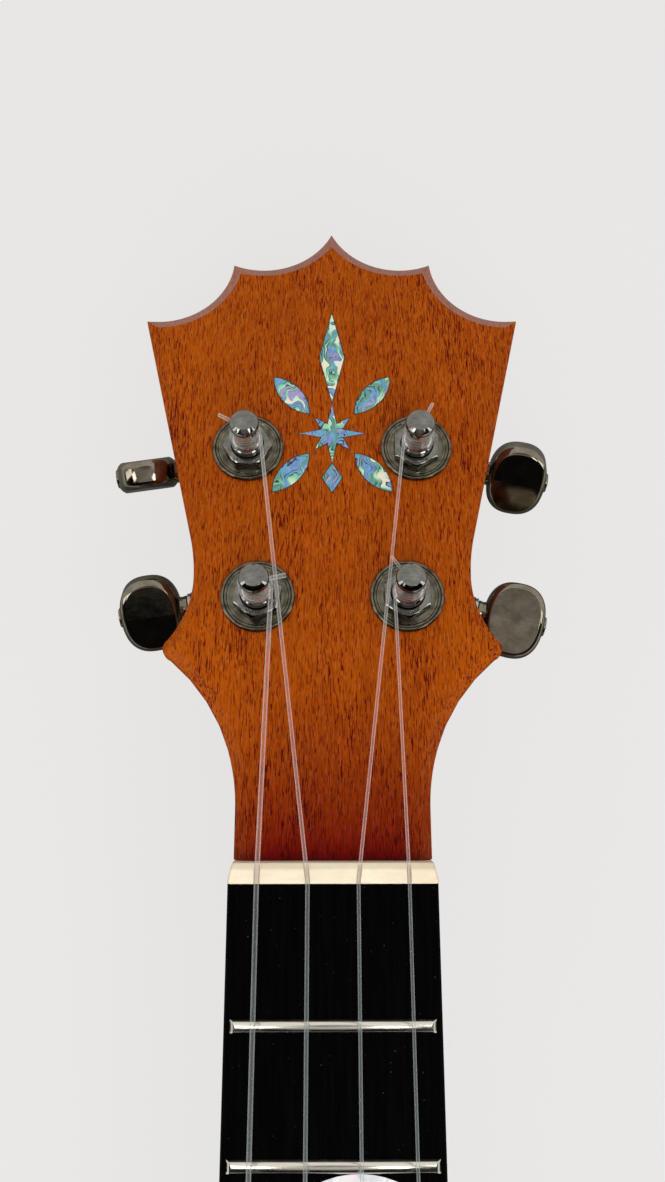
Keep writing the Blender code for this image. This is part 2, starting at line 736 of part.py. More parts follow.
def make_neck(wood):
    top = BODY_DEPTH
    tallest = top - HEEL_CAP_THICKNESS - GLUE_GAP
    end = BODY_JOINT - GLUE_GAP
    rings = []
    sweep = HEEL_LENGTH - HEEL_CAP_LENGTH
    stations = [share * HEEL_CAP_LENGTH for share in HEEL_CAP_SHARES]
    stations += [HEEL_CAP_LENGTH + share * sweep for share in HEEL_SWEEP_SHARES]
    for before in stations + [BODY_JOINT / 2]:
        distance = end - before
        half = board_half_width(distance)
        rings.append(neck_section(distance, top, neck_depth(before, tallest), tallest, half))
    foot_half = HEAD_FOOT_HALF - GLUE_GAP
    rings.append(neck_section(0, top, NECK_DEPTH_AT_NUT, tallest, board_half_width(0)))
    rings.append(neck_section(-NUT_THICKNESS, top, NECK_DEPTH_AT_NUT, tallest, foot_half))
    for reach, sink, share in TONGUE_SECTIONS:
        depth = NECK_DEPTH_AT_NUT - sink
        rings.append(neck_section(-NUT_THICKNESS - reach, top - sink, depth, tallest, foot_half * share))
    neck = add_solid("neck", ring_solid(rings), wood, smooth=35)
    start = HEADPLATE_THICKNESS * math.tan(HEAD_TILT) + GLUE_GAP
    slab_top = -HEADPLATE_THICKNESS - GLUE_GAP
    back = [Vector((x, y, -HEAD_THICKNESS)) for x, y in head_outline(start, HEAD_UNDERCUT)]
    front = [Vector((x, y, slab_top)) for x, y in head_outline(start)]
    slab = add_solid("head_form", ring_solid([back, front]), wood, matrix=HEAD_FRAME, smooth=35)
    boolean(neck, "UNION", slab)
    boolean(neck, "DIFFERENCE", post_holes("neck_hole_cutter", wood))
    make_heel_cap(wood, tallest)


# The heel cap takes its outline from the neck's own sections where these reach the floor
def make_heel_cap(wood, tallest):
    half_outline = []
    for share in HEEL_CAP_SHARES:
        before = share * HEEL_CAP_LENGTH
        angle = last_section_angle(neck_depth(before, tallest), tallest)
        distance = BODY_JOINT - GLUE_GAP - before
        across = math.cos(angle) ** (2 / NECK_ROUNDNESS)
        half_outline.append((board_half_width(distance) * across, from_nut(distance)))
    outline = half_outline + [(-x, y) for x, y in reversed(half_outline)]
    add_solid("heel_cap", extruded(outline, 0, HEEL_CAP_THICKNESS), wood)


# Head outline in the plane of the head's face: x across, y from the nut's back to the tip.
# An undercut draws in the sweep below the horns, as on the back of the head
def head_outline(start, undercut=0.0):
    inward, upward, below = HORN_UNDERCUT_SHARES
    sweep_centre = (HEAD_FOOT_HALF + HEAD_SWEEP_RADIUS, HEAD_SWEEP_START + undercut)
    low_y = HORN_BELOW + undercut * below
    low_x = sweep_centre[0] - math.sqrt(HEAD_SWEEP_RADIUS**2 - (low_y - sweep_centre[1]) ** 2)
    horn_above = (HORN_ABOVE[0] - undercut * inward, HORN_ABOVE[1] + undercut * upward)
    half = [(HEAD_FOOT_HALF, start), (HEAD_FOOT_HALF, sweep_centre[1])]
    half += arc_points(half[-1], (low_x, low_y), -HEAD_SWEEP_RADIUS, 6)
    half += arc_points(half[-1], horn_above, HORN_RADIUS + undercut / 5, 4)
    half += arc_points(half[-1], WAIST_POINT, -WAIST_RADIUS_BELOW, 5)
    half += arc_points(half[-1], SIDE_START, -WAIST_RADIUS_ABOVE, 3)
    half.append(CORNER_BELOW)
    half += arc_points(half[-1], CORNER_ABOVE, CORNER_RADIUS, 2)
    half += arc_points(half[-1], MIDDLE_TIP, -SCALLOP_RADIUS_OUTER, 6)
    half += arc_points(half[-1], (0, HEAD_LENGTH), -SCALLOP_RADIUS_INNER, 6)
    return mirrored(half)


# The same outline drawn in by a distance, all but its straight end at the nut
def drawn_in(outline, distance):
    points = []
    for i, point in enumerate(outline):
        before = Vector(outline[i - 1])
        after = Vector(outline[(i + 1) % len(outline)])
        here = Vector(point)
        way_in = (here - before).normalized()
        way_out = (after - here).normalized()
        normal_in = Vector((-way_in.y, way_in.x))
        normal_out = Vector((-way_out.y, way_out.x))
        mitre = (normal_in + normal_out).normalized()
        reach = distance / max(mitre.dot(normal_in), 0.3)
        inner = here + mitre * reach
        at_nut = i == 0 or i == len(outline) - 1
        points.append((inner.x, point[1] if at_nut else inner.y))
    return points


def post_holes(name, material):
    holes = bmesh.new()
    for side, (x, t), lean, button_turn, hex_turn, tail in TUNERS.values():
        rings = []
        for height in (-2 * HEAD_THICKNESS, HEAD_THICKNESS):
            ring = turned_ring(POST_HOLE_RADIUS, height)
            rings.append([holes.verts.new(point + Vector((side * x, t, 0))) for point in ring])
        join_rings(holes, rings[0], rings[1])
        holes.faces.new(rings[0])
        holes.faces.new(rings[1])
    return add_solid(name, holes, material, matrix=HEAD_FRAME)


# Veneer on the face of the head, with its upper rim rounded over
def make_headplate(wood):
    low_start = HEADPLATE_THICKNESS * math.tan(HEAD_TILT) + GLUE_GAP
    shoulder_start = HEAD_EDGE_ROUND * math.tan(HEAD_TILT) + GLUE_GAP
    rings = [[Vector((x, y, -HEADPLATE_THICKNESS)) for x, y in head_outline(low_start)]]
    for angle in (0, 45, 90):
        drawn = HEAD_EDGE_ROUND * (1 - math.cos(math.radians(angle)))
        sunk = HEAD_EDGE_ROUND * (1 - math.sin(math.radians(angle)))
        start = GLUE_GAP + sunk / HEAD_EDGE_ROUND * (shoulder_start - GLUE_GAP)
        outline = drawn_in(head_outline(start), drawn)
        rings.append([Vector((x, y, -sunk)) for x, y in outline])
    plate = add_solid("headplate", ring_solid(rings), wood, matrix=HEAD_FRAME, smooth=30)
    boolean(plate, "DIFFERENCE", post_holes("headplate_hole_cutter", wood))


# Fingerboard with blind fret slots, and its frets
def make_fingerboard(ebony, fret_metal):
    low = BODY_DEPTH + GLUE_GAP
    chamfer = BOARD_EDGE_CHAMFER
    rings = []
    for distance in (GLUE_GAP, BOARD_LENGTH):
        half = board_half_width(distance)
        section = [
            (-half, low),
            (half, low),
            (half, BOARD_TOP - chamfer),
            (half - chamfer, BOARD_TOP),
            (chamfer - half, BOARD_TOP),
            (-half, BOARD_TOP - chamfer),
        ]
        rings.append([Vector((x, from_nut(distance), z)) for x, z in section])
    board = add_solid("fingerboard", ring_solid(rings), ebony)
    slots = bmesh.new()
    for number in range(1, FRET_COUNT + 1):
        half = fret_half_length(number) + SLOT_CLEARANCE
        y = from_nut(fret_distance(number))
        reach = TANG_WIDTH / 2 + SLOT_CLEARANCE
        depth = TANG_DEPTH + SLOT_CLEARANCE
        add_box_to(slots, (-half, half), (y - reach, y + reach), (BOARD_TOP - depth, BOARD_TOP + depth))
        make_fret(number, fret_metal)
    boolean(board, "DIFFERENCE", add_solid("fret_slot_cutter", slots, ebony))


def fret_half_length(number):
    return board_half_width(fret_distance(number)) - FRET_INSET


# A fret has a half-round crown over a tang, and its crown slopes in at both ends
def make_fret(number, metal):
    y = from_nut(fret_distance(number))
    base = BOARD_TOP + SLOT_CLEARANCE
    half = fret_half_length(number)
    crown = []
    for a in np.linspace(0, math.pi, FRET_ARC_STEPS + 1):
        crown.append((math.cos(a) * FRET_WIDTH / 2, math.sin(a) * FRET_HEIGHT))
    tang = [
        (-TANG_WIDTH / 2, 0),
        (-TANG_WIDTH / 2, -TANG_DEPTH),
        (TANG_WIDTH / 2, -TANG_DEPTH),
        (TANG_WIDTH / 2, 0),
    ]
    section = crown + tang
    fret = bmesh.new()
    ends = []
    for side in (-1, 1):
        ends.append(
            [
                fret.verts.new((side * (half - max(z, 0) * FRET_END_SLOPE), y + v, base + z))
                for v, z in section
            ]
        )
    count = len(section)
    for i in range(count):
        j = (i + 1) % count
        fret.faces.new((ends[0][i], ends[0][j], ends[1][j], ends[1][i]))
    for end in ends:
        fret.faces.new(end[: len(crown)] + [end[len(crown)], end[-1]])
        fret.faces.new(end[len(crown) :])
    add_solid(f"fret_{number:02d}", fret, metal, smooth=50)


# Nut, with a slot for each string that fans out behind the break point
def make_nut(bone):
    foot = BODY_DEPTH + GLUE_GAP
    top = BOARD_TOP + NUT_TOP
    front_half = board_half_width(0)
    profile = [
        (0, foot, front_half),
        (0, top - SEAT_GAP, front_half),
        (SEAT_GAP, top, front_half - SEAT_GAP),
        (NUT_FLAT, top, front_half - NUT_END_DRAW),
        (NUT_THICKNESS, top - NUT_BACK_DROP, HEAD_FOOT_HALF),
        (NUT_THICKNESS, foot, HEAD_FOOT_HALF),
    ]
    left = [Vector((-half, NUT_Y + y, z)) for y, z, half in profile]
    right = [Vector((half, NUT_Y + y, z)) for y, z, half in profile]
    nut = add_solid("nut", ring_solid([left, right]), bone)
    for name, (place_across, diameter, tuner) in STRINGS.items():
        rings = []
        width = diameter / 2 + SLOT_CLEARANCE
        route = string_route(name)
        before = route["nut"] + (route["nut"] - route["saddle"]).normalized() * -NUT_THICKNESS
        after = route["nut"] + (route["tangent"] - route["nut"]).normalized() * 2 * NUT_THICKNESS
        for point in (before, route["nut"], after):
            low = point.z - width
            high = point.z + 4 * FRET_HEIGHT
            rings.append(
                [
                    Vector((point.x - width, point.y, low)),
                    Vector((point.x + width, point.y, low)),
                    Vector((point.x + width, point.y, high)),
                    Vector((point.x - width, point.y, high)),
                ]
            )
        cutter = add_solid("nut_slot_cutter_" + name, ring_solid(rings), bone)
        boolean(nut, "DIFFERENCE", cutter)


# Strings. The places that a string passes, in the world frame
def string_route(name):
    place_across, diameter, tuner = STRINGS[name]
    side, (post_x, post_t), lean, button_turn, hex_turn, tail = TUNERS[tuner]
    radius = BARREL_RADIUS + WIND_CLEARANCE + diameter / 2
    nut = Vector(
        (
            place_across * STRING_SPACING_AT_NUT,
            NUT_Y + NUT_SLOT_BREAK,
            BOARD_TOP + STRING_LIFT_AT_NUT + diameter / 2,
        )
    )
    saddle = Vector(
        (
            place_across * STRING_SPACING_AT_SADDLE,
            from_nut(SADDLE_DISTANCE),
            SADDLE_TOP + diameter / 2 + WIND_CLEARANCE,
        )
    )
    start = HEAD_FRAME.inverted() @ nut
    post = Vector((side * post_x, post_t))
    offset = Vector((start.x, start.y)) - post
    swing = math.acos(radius / offset.length)
    towards = math.atan2(offset.y, offset.x)
    touch = towards - side * swing
    height = BARREL_BOTTOM + WIND_START_ABOVE_BARREL
    local = Vector((post.x + radius * math.cos(touch), post.y + radius * math.sin(touch), height))
    return {
        "nut": nut,
        "saddle": saddle,
        "post": post,
        "touch": touch,
        "radius": radius,
        "height": height,
        "tangent": HEAD_FRAME @ local,
    }


# Points of the winding in the head's frame: turns up the barrel, a bend into the post's
# hole, and the tail that leaves on the other side
def winding_points(name):
    place_across, diameter, tuner = STRINGS[name]
    side, post_place, lean, button_turn, hex_turn, tail = TUNERS[tuner]
    route = string_route(name)
    post = route["post"]
    radius = route["radius"]
    bend = WIND_BEND_RADIUS
    entry = math.radians(tail) + math.pi
    way = -side
    sweep = (entry - route["touch"]) * way
    sweep = sweep % (2 * math.pi) + 2 * math.pi * (WIND_TURNS - 1)
    if sweep < 2 * math.pi * (WIND_TURNS - 0.4):
        sweep += 2 * math.pi
    sweep -= math.asin(bend / (radius - bend))
    last_rise = diameter + WIND_LAST_CLEARANCE
    climb = STRING_HOLE_Z - route["height"] - last_rise
    steps = round(sweep / (2 * math.pi) * WIND_POINTS)
    points = []
    for i in range(1, steps + 1):
        turned_by = sweep * i / steps
        angle = route["touch"] + way * turned_by
        slow = min(turned_by / (sweep - math.pi), 1)
        fast = max(turned_by - (sweep - math.pi), 0) / math.pi
        ease = fast * fast * (3 - 2 * fast)
        z = route["height"] + climb * slow + last_rise * ease
        points.append(Vector((post.x + radius * math.cos(angle), post.y + radius * math.sin(angle), z)))
    inward = Vector((-math.cos(entry), -math.sin(entry), 0))
    across = Vector((math.sin(entry), -math.cos(entry), 0)) * way
    centre = Vector((post.x, post.y, STRING_HOLE_Z)) - inward * (radius - bend) + across * bend
    for i in range(1, WIND_BEND_STEPS + 1):
        a = math.pi / 2 * i / WIND_BEND_STEPS
        points.append(centre - inward * bend * math.cos(a) - across * bend * math.sin(a))
    middle = Vector((post.x, post.y, STRING_HOLE_Z))
    points.append(middle + inward * (BARREL_RADIUS + STRING_TAIL))
    return points


def saddle_points(name):
    route = string_route(name)
    base = BODY_DEPTH + GLUE_GAP
    back = from_nut(SADDLE_DISTANCE) + BRIDGE_FRONT - BRIDGE_WIDTH
    x = route["saddle"].x
    hole_z = base + TIE_HOLE_HEIGHT
    reach = route["saddle"].z - (SADDLE_TOP - SADDLE_THICKNESS / 2)
    points = [
        Vector((x, back - TIE_TAIL, hole_z)),
        Vector((x, back + TIE_BLOCK_WIDTH + SEAT_GAP, hole_z)),
    ]
    for a in (50, 35, 20, 0):
        turn = math.radians(a)
        y = from_nut(SADDLE_DISTANCE) - reach * math.sin(turn)
        z = SADDLE_TOP - SADDLE_THICKNESS / 2 + reach * math.cos(turn)
        points.append(Vector((x, y, z)))
    return points


# Least distance between two stretches of one string, surface to surface
def least_self_gap(points, diameter):
    dense = []
    for start, end in zip(points, points[1:]):
        steps = max(int((end - start).length / (diameter / 2)), 1)
        dense += [start.lerp(end, i / steps) for i in range(steps)]
    dense.append(points[-1])
    coords = np.array([tuple(point) for point in dense])
    run = np.concatenate([[0], np.cumsum(np.linalg.norm(np.diff(coords, axis=0), axis=1))])
    apart = np.linalg.norm(coords[:, None] - coords[None], axis=2)
    apart[np.abs(run[:, None] - run[None]) < math.pi * BARREL_RADIUS] = 1.0
    return apart.min() - diameter


def make_string(name, nylon):
    place_across, diameter, tuner = STRINGS[name]
    route = string_route(name)
    winding = winding_points(name)
    points = saddle_points(name) + [route["nut"], route["tangent"]]
    points += [HEAD_FRAME @ point for point in winding]
    curve = bpy.data.curves.new(name, "CURVE")
    curve.dimensions = "3D"
    curve.bevel_depth = diameter / 2
    curve.bevel_resolution = 1
    curve.use_fill_caps = True
    spline = curve.splines.new("POLY")
    spline.points.add(len(points) - 1)
    for spot, point in zip(spline.points, points):
        spot.co = (*point, 1)
    curve.materials.append(nylon)
    place(bpy.data.objects.new(name, curve))
    gap = least_self_gap([HEAD_FRAME @ point for point in winding], diameter)
    print(f"{name}: least gap to itself {gap * 1000:.2f} mm")


# Worm wheel: teeth twisted by the worm's lead, so that they lie along its thread
def wheel_ring(height, lead):
    tip = WHEEL_TIP_RADIUS
    root = WHEEL_PITCH_RADIUS - TOOTH_FALL
    half = WHEEL_TOOTH_SHARE * GEAR_PITCH / 2
    tip_half = (half - TOOTH_RISE * FLANK_SLOPE) / tip
    root_half = (half + TOOTH_FALL * FLANK_SLOPE) / root
    twist = height * lead / WHEEL_PITCH_RADIUS
    step = 2 * math.pi / WHEEL_TEETH
    ring = []
    for tooth in range(WHEEL_TEETH):
        middle = math.pi / 2 + step * (tooth + 0.5) + twist
        corners = ((root, -root_half), (tip, -tip_half), (tip, tip_half), (root, root_half))
        for radius, offset in corners:
            a = middle + offset
            ring.append(Vector((radius * math.cos(a), radius * math.sin(a), height - SHAFT_DEPTH)))
    return ring


def make_post(name, parent, hole_angle, steel, dark):
    under = -HEAD_THICKNESS - SEAT_GAP
    wheel_top = -SHAFT_DEPTH + WHEEL_THICKNESS / 2
    wheel_low = wheel_top - WHEEL_THICKNESS
    flare = BARREL_RADIUS + BARREL_FLARE
    cap_low = POST_RISE - CAP_HEIGHT
    profile = [
        (POST_PIVOT_RADIUS, wheel_low - POST_PIVOT_LENGTH),
        (POST_PIVOT_RADIUS, wheel_low + WHEEL_THICKNESS / 3),
        (POST_RADIUS - GEAR_PITCH / 4, wheel_low + WHEEL_THICKNESS / 3),
        (POST_RADIUS - GEAR_PITCH / 4, under),
        (POST_RADIUS, under),
        (POST_RADIUS, BARREL_BOTTOM - BARREL_FLARE * 1.5),
        (flare, BARREL_BOTTOM - BARREL_FLARE),
        (flare, BARREL_BOTTOM),
        (BARREL_RADIUS, BARREL_BOTTOM + BARREL_FLARE),
        (BARREL_RADIUS, BARREL_TOP - BARREL_FLARE / 2),
        (flare - BARREL_FLARE / 2, BARREL_TOP),
        (CAP_GROOVE_RADIUS, BARREL_TOP),
        (CAP_GROOVE_RADIUS, cap_low),
        (CAP_RADIUS, cap_low),
        (CAP_RADIUS, POST_RISE - CAP_BEVEL * 1.5),
        (CAP_RADIUS - CAP_BEVEL, POST_RISE - CAP_BEVEL / 2),
        (CAP_RADIUS / 2, POST_RISE),
    ]
    post = add_solid(name, turned(profile), steel, parent=parent, smooth=35)
    lead = GEAR_PITCH / (2 * math.pi * WORM_PITCH_RADIUS)
    rings = [wheel_ring(-WHEEL_THICKNESS / 2, lead), wheel_ring(WHEEL_THICKNESS / 2, lead)]
    wheel = add_solid("wheel_form_" + name, ring_solid(rings), dark, parent=parent)
    boolean(post, "UNION", wheel)
    bore = turned([(STRING_HOLE_RADIUS, -POST_RADIUS), (STRING_HOLE_RADIUS, POST_RADIUS)], 10)
    matrix = (
        Matrix.Translation((0, 0, STRING_HOLE_Z))
        @ Matrix.Rotation(hole_angle, 4, "Z")
        @ Matrix.Rotation(math.pi / 2, 4, "Y")
    )
    cutter = add_solid("string_hole_cutter_" + name, bore, steel, parent=parent, matrix=matrix)
    boolean(post, "DIFFERENCE", cutter)


# Hex bushing and flat washer in one, with a sleeve down through the head. The hex's upper
# edge is where its flats meet a cone, so it dips towards each corner.
def make_bushing(name, parent, turn, metal):
    segments = 24
    apothem = HEX_ACROSS_FLATS / 2
    hex_top = WASHER_TOP + HEX_HEIGHT
    bore = POST_RADIUS + RUN_CLEARANCE
    angles = [2 * math.pi * i / segments for i in range(segments)]
    flats = [apothem / math.cos((a + math.pi / 6) % (math.pi / 3) - math.pi / 6) for a in angles]
    profile = [
        (bore, SLEEVE_SHORT - HEAD_THICKNESS),
        (SLEEVE_RADIUS, SLEEVE_SHORT - HEAD_THICKNESS),
        (SLEEVE_RADIUS, GLUE_GAP),
        (WASHER_RADIUS - WASHER_BEVEL, GLUE_GAP),
        (WASHER_RADIUS, GLUE_GAP + WASHER_BEVEL),
        (WASHER_RADIUS, WASHER_TOP - WASHER_BEVEL),
        (WASHER_RADIUS - WASHER_BEVEL, WASHER_TOP),
        ("hex", WASHER_TOP),
        ("hex", "edge"),
        (HEX_CROWN_RADIUS, hex_top),
        (bore, hex_top),
    ]
    rings = []
    for radius, height in profile:
        ring = []
        for a, flat in zip(angles, flats):
            r = flat if radius == "hex" else radius
            edge = hex_top - (flat - HEX_CROWN_RADIUS) * HEX_CROWN_SLOPE
            z = edge if height == "edge" else height
            ring.append(Vector((r * math.cos(a), r * math.sin(a), z)))
        rings.append(ring)
    matrix = Matrix.Rotation(math.radians(turn), 4, "Z")
    add_solid(name, ring_solid(rings, closed=True), metal, parent=parent, matrix=matrix, smooth=35)


# Worm shaft along X. Its rows follow the thread, four to a turn: two on the crest and two
# in the root. The thread fades out into the root at both ends.
def make_worm_shaft(name, parent, turn, steel):
    rows = 4 * WORM_ROW_TURNS
    crest = WORM_THREAD_SHARE * GEAR_PITCH / 2 - TOOTH_RISE * FLANK_SLOPE
    foot = WORM_THREAD_SHARE * GEAR_PITCH / 2 + TOOTH_FALL * FLANK_SLOPE
    corners = (
        (-foot, WORM_ROOT_RADIUS),
        (-crest, WORM_CREST_RADIUS),
        (crest, WORM_CREST_RADIUS),
        (foot, WORM_ROOT_RADIUS),
    )
    shaft = bmesh.new()
    grid = []
    for row in range(rows + 1):
        offset, radius = corners[row % 4]
        line = []
        for i in range(WORM_SEGMENTS):
            share = i / WORM_SEGMENTS
            x = (row // 4 + share - WORM_ROW_TURNS / 2) * GEAR_PITCH + offset
            reach = GEAR_PITCH * WORM_TURNS / 2
            keep = min(max((reach - abs(x)) / (GEAR_PITCH * WORM_FADE), 0), 1)
            r = WORM_ROOT_RADIUS + (radius - WORM_ROOT_RADIUS) * keep
            a = 2 * math.pi * share
            line.append(shaft.verts.new((x, r * math.cos(a), r * math.sin(a))))
        grid.append(line)
    for row in range(rows):
        for i in range(WORM_SEGMENTS):
            wraps = i == WORM_SEGMENTS - 1
            if wraps and row + 5 > rows:
                continue
            j = 0 if wraps else i + 1
            beside = row + 4 if wraps else row
            face = (grid[row][i], grid[beside][j], grid[beside + 1][j], grid[row + 1][i])
            shaft.faces.new(face)
    finish_worm_ends(shaft, grid, rows)
    add_solid(name, shaft, steel, parent=parent, matrix=Matrix.Rotation(turn, 4, "X"), smooth=30)


def shaft_ring(shaft, radius, x):
    ring = []
    for i in range(WORM_SEGMENTS):
        a = 2 * math.pi * i / WORM_SEGMENTS
        ring.append(shaft.verts.new((x, radius * math.cos(a), radius * math.sin(a))))
    return ring


# Journals beyond the thread: a stub in the blind end of the housing on one side, and the
# long shaft with its thrust washer and the end that the button grips on the other
def finish_worm_ends(shaft, grid, rows):
    last = WORM_SEGMENTS - 1
    half = worm_half_length()
    low = shaft_ring(shaft, WORM_ROOT_RADIUS, -half)
    for i in range(last):
        shaft.faces.new((low[i], low[i + 1], grid[0][i + 1], grid[0][i]))
    seam = [grid[row][0] for row in (4, 3, 2, 1, 0)]
    shaft.faces.new([grid[0][last]] + seam + [low[0], low[last]])
    high = shaft_ring(shaft, WORM_ROOT_RADIUS, half)
    top = grid[rows]
    for i in range(last):
        shaft.faces.new((top[i], top[i + 1], high[i + 1], high[i]))
    seam = [grid[rows - k][last] for k in (4, 3, 2, 1, 0)]
    shaft.faces.new(seam + [high[last], high[0], top[0]])
    stub_end = -half - SHAFT_TAIL_LENGTH
    rings = [low] + [shaft_ring(shaft, SHAFT_TAIL_RADIUS, x) for x in (-half, stub_end)]
    for first, second in zip(rings, rings[1:]):
        join_rings(shaft, first, second)
    shaft.faces.new(rings[-1])
    washer = COLLAR_REACH + RUN_CLEARANCE
    grip = washer + THRUST_WASHER_THICKNESS
    steps = (
        (SHAFT_RADIUS, half),
        (SHAFT_RADIUS, washer),
        (THRUST_WASHER_RADIUS, washer),
        (THRUST_WASHER_RADIUS, grip),
        (SHAFT_TAIL_RADIUS, grip),
        (SHAFT_TAIL_RADIUS, grip + BUTTON_GRIP),
    )
    rings = [high] + [shaft_ring(shaft, radius, x) for radius, x in steps]
    for first, second in zip(rings, rings[1:]):
        join_rings(shaft, first, second)
    shaft.faces.new(rings[-1])


def worm_half_length():
    foot = WORM_THREAD_SHARE * GEAR_PITCH / 2 + TOOTH_FALL * FLANK_SLOPE
    return GEAR_PITCH * WORM_ROW_TURNS / 2 + foot + RUN_CLEARANCE


# Button: flat faces with a faint ridge, a rounded square outline and a bevelled rim
def make_button(name, parent, turn, metal):
    start = COLLAR_REACH + RUN_CLEARANCE + THRUST_WASHER_THICKNESS + GLUE_GAP
    neck_end = start + BUTTON_NECK_LENGTH
    middle = neck_end + BUTTON_LENGTH / 2
    bore = SHAFT_TAIL_RADIUS + SLOT_CLEARANCE
    depth = start + BUTTON_GRIP
    stations = [(x, BUTTON_NECK_RADIUS, BUTTON_NECK_RADIUS) for x in (start, neck_end)]
    for i in range(BUTTON_STEPS + 1):
        a = math.pi * (BUTTON_END_CUT + (1 - 2 * BUTTON_END_CUT) * i / BUTTON_STEPS)
        cos_part = math.copysign(abs(math.cos(a)) ** (2 / BUTTON_SQUARENESS), math.cos(a))
        x = middle - cos_part * BUTTON_LENGTH / 2
        across = math.sin(a) ** (2 / BUTTON_SQUARENESS) * BUTTON_WIDTH / 2
        stations.append((x, across, BUTTON_THICKNESS / 2))
    rings = [button_ring(x, across, half) for x, across, half in stations]
    turned_by = Matrix.Rotation(math.radians(turn), 4, "X")
    button = add_solid(name, ring_solid(rings), metal, parent, turned_by, smooth=40)
    hole = turned([(bore, start - BUTTON_GRIP), (bore, depth)], WORM_SEGMENTS)
    along_shaft = Matrix.Rotation(math.pi / 2, 4, "Y")
    cutter = add_solid("button_bore_cutter_" + name, hole, metal, parent, along_shaft)
    boolean(button, "DIFFERENCE", cutter)


def button_ring(x, across, half):
    bevel = min(BUTTON_BEVEL, across * 0.45)
    corner = bevel * BUTTON_BEVEL_CORNER
    quarter = [(across, half - bevel), (across - corner, half - corner), (across - bevel, half)]
    ring = quarter + [(0, half + BUTTON_CROWN)]
    ring += [(-v, w) for v, w in reversed(quarter)]
    ring += [(-v, -w) for v, w in ring]
    return [Vector((x, v, w)) for v, w in ring]


# Housing: a cast cup under the head, open upwards, with a collar round the shaft and an
# ear for its screw
def rounded_rectangle(x, y, radius):
    corners = [(x[1], y[1], 0), (x[0], y[1], 90), (x[0], y[0], 180), (x[1], y[0], 270)]
    points = []
    for corner_x, corner_y, start in corners:
        centre_x = corner_x - math.copysign(radius, corner_x - sum(x) / 2)
        centre_y = corner_y - math.copysign(radius, corner_y - sum(y) / 2)
        for step in (0, 30, 60, 90):
            a = math.radians(start + step)
            points.append((centre_x + radius * math.cos(a), centre_y + radius * math.sin(a)))
    return points


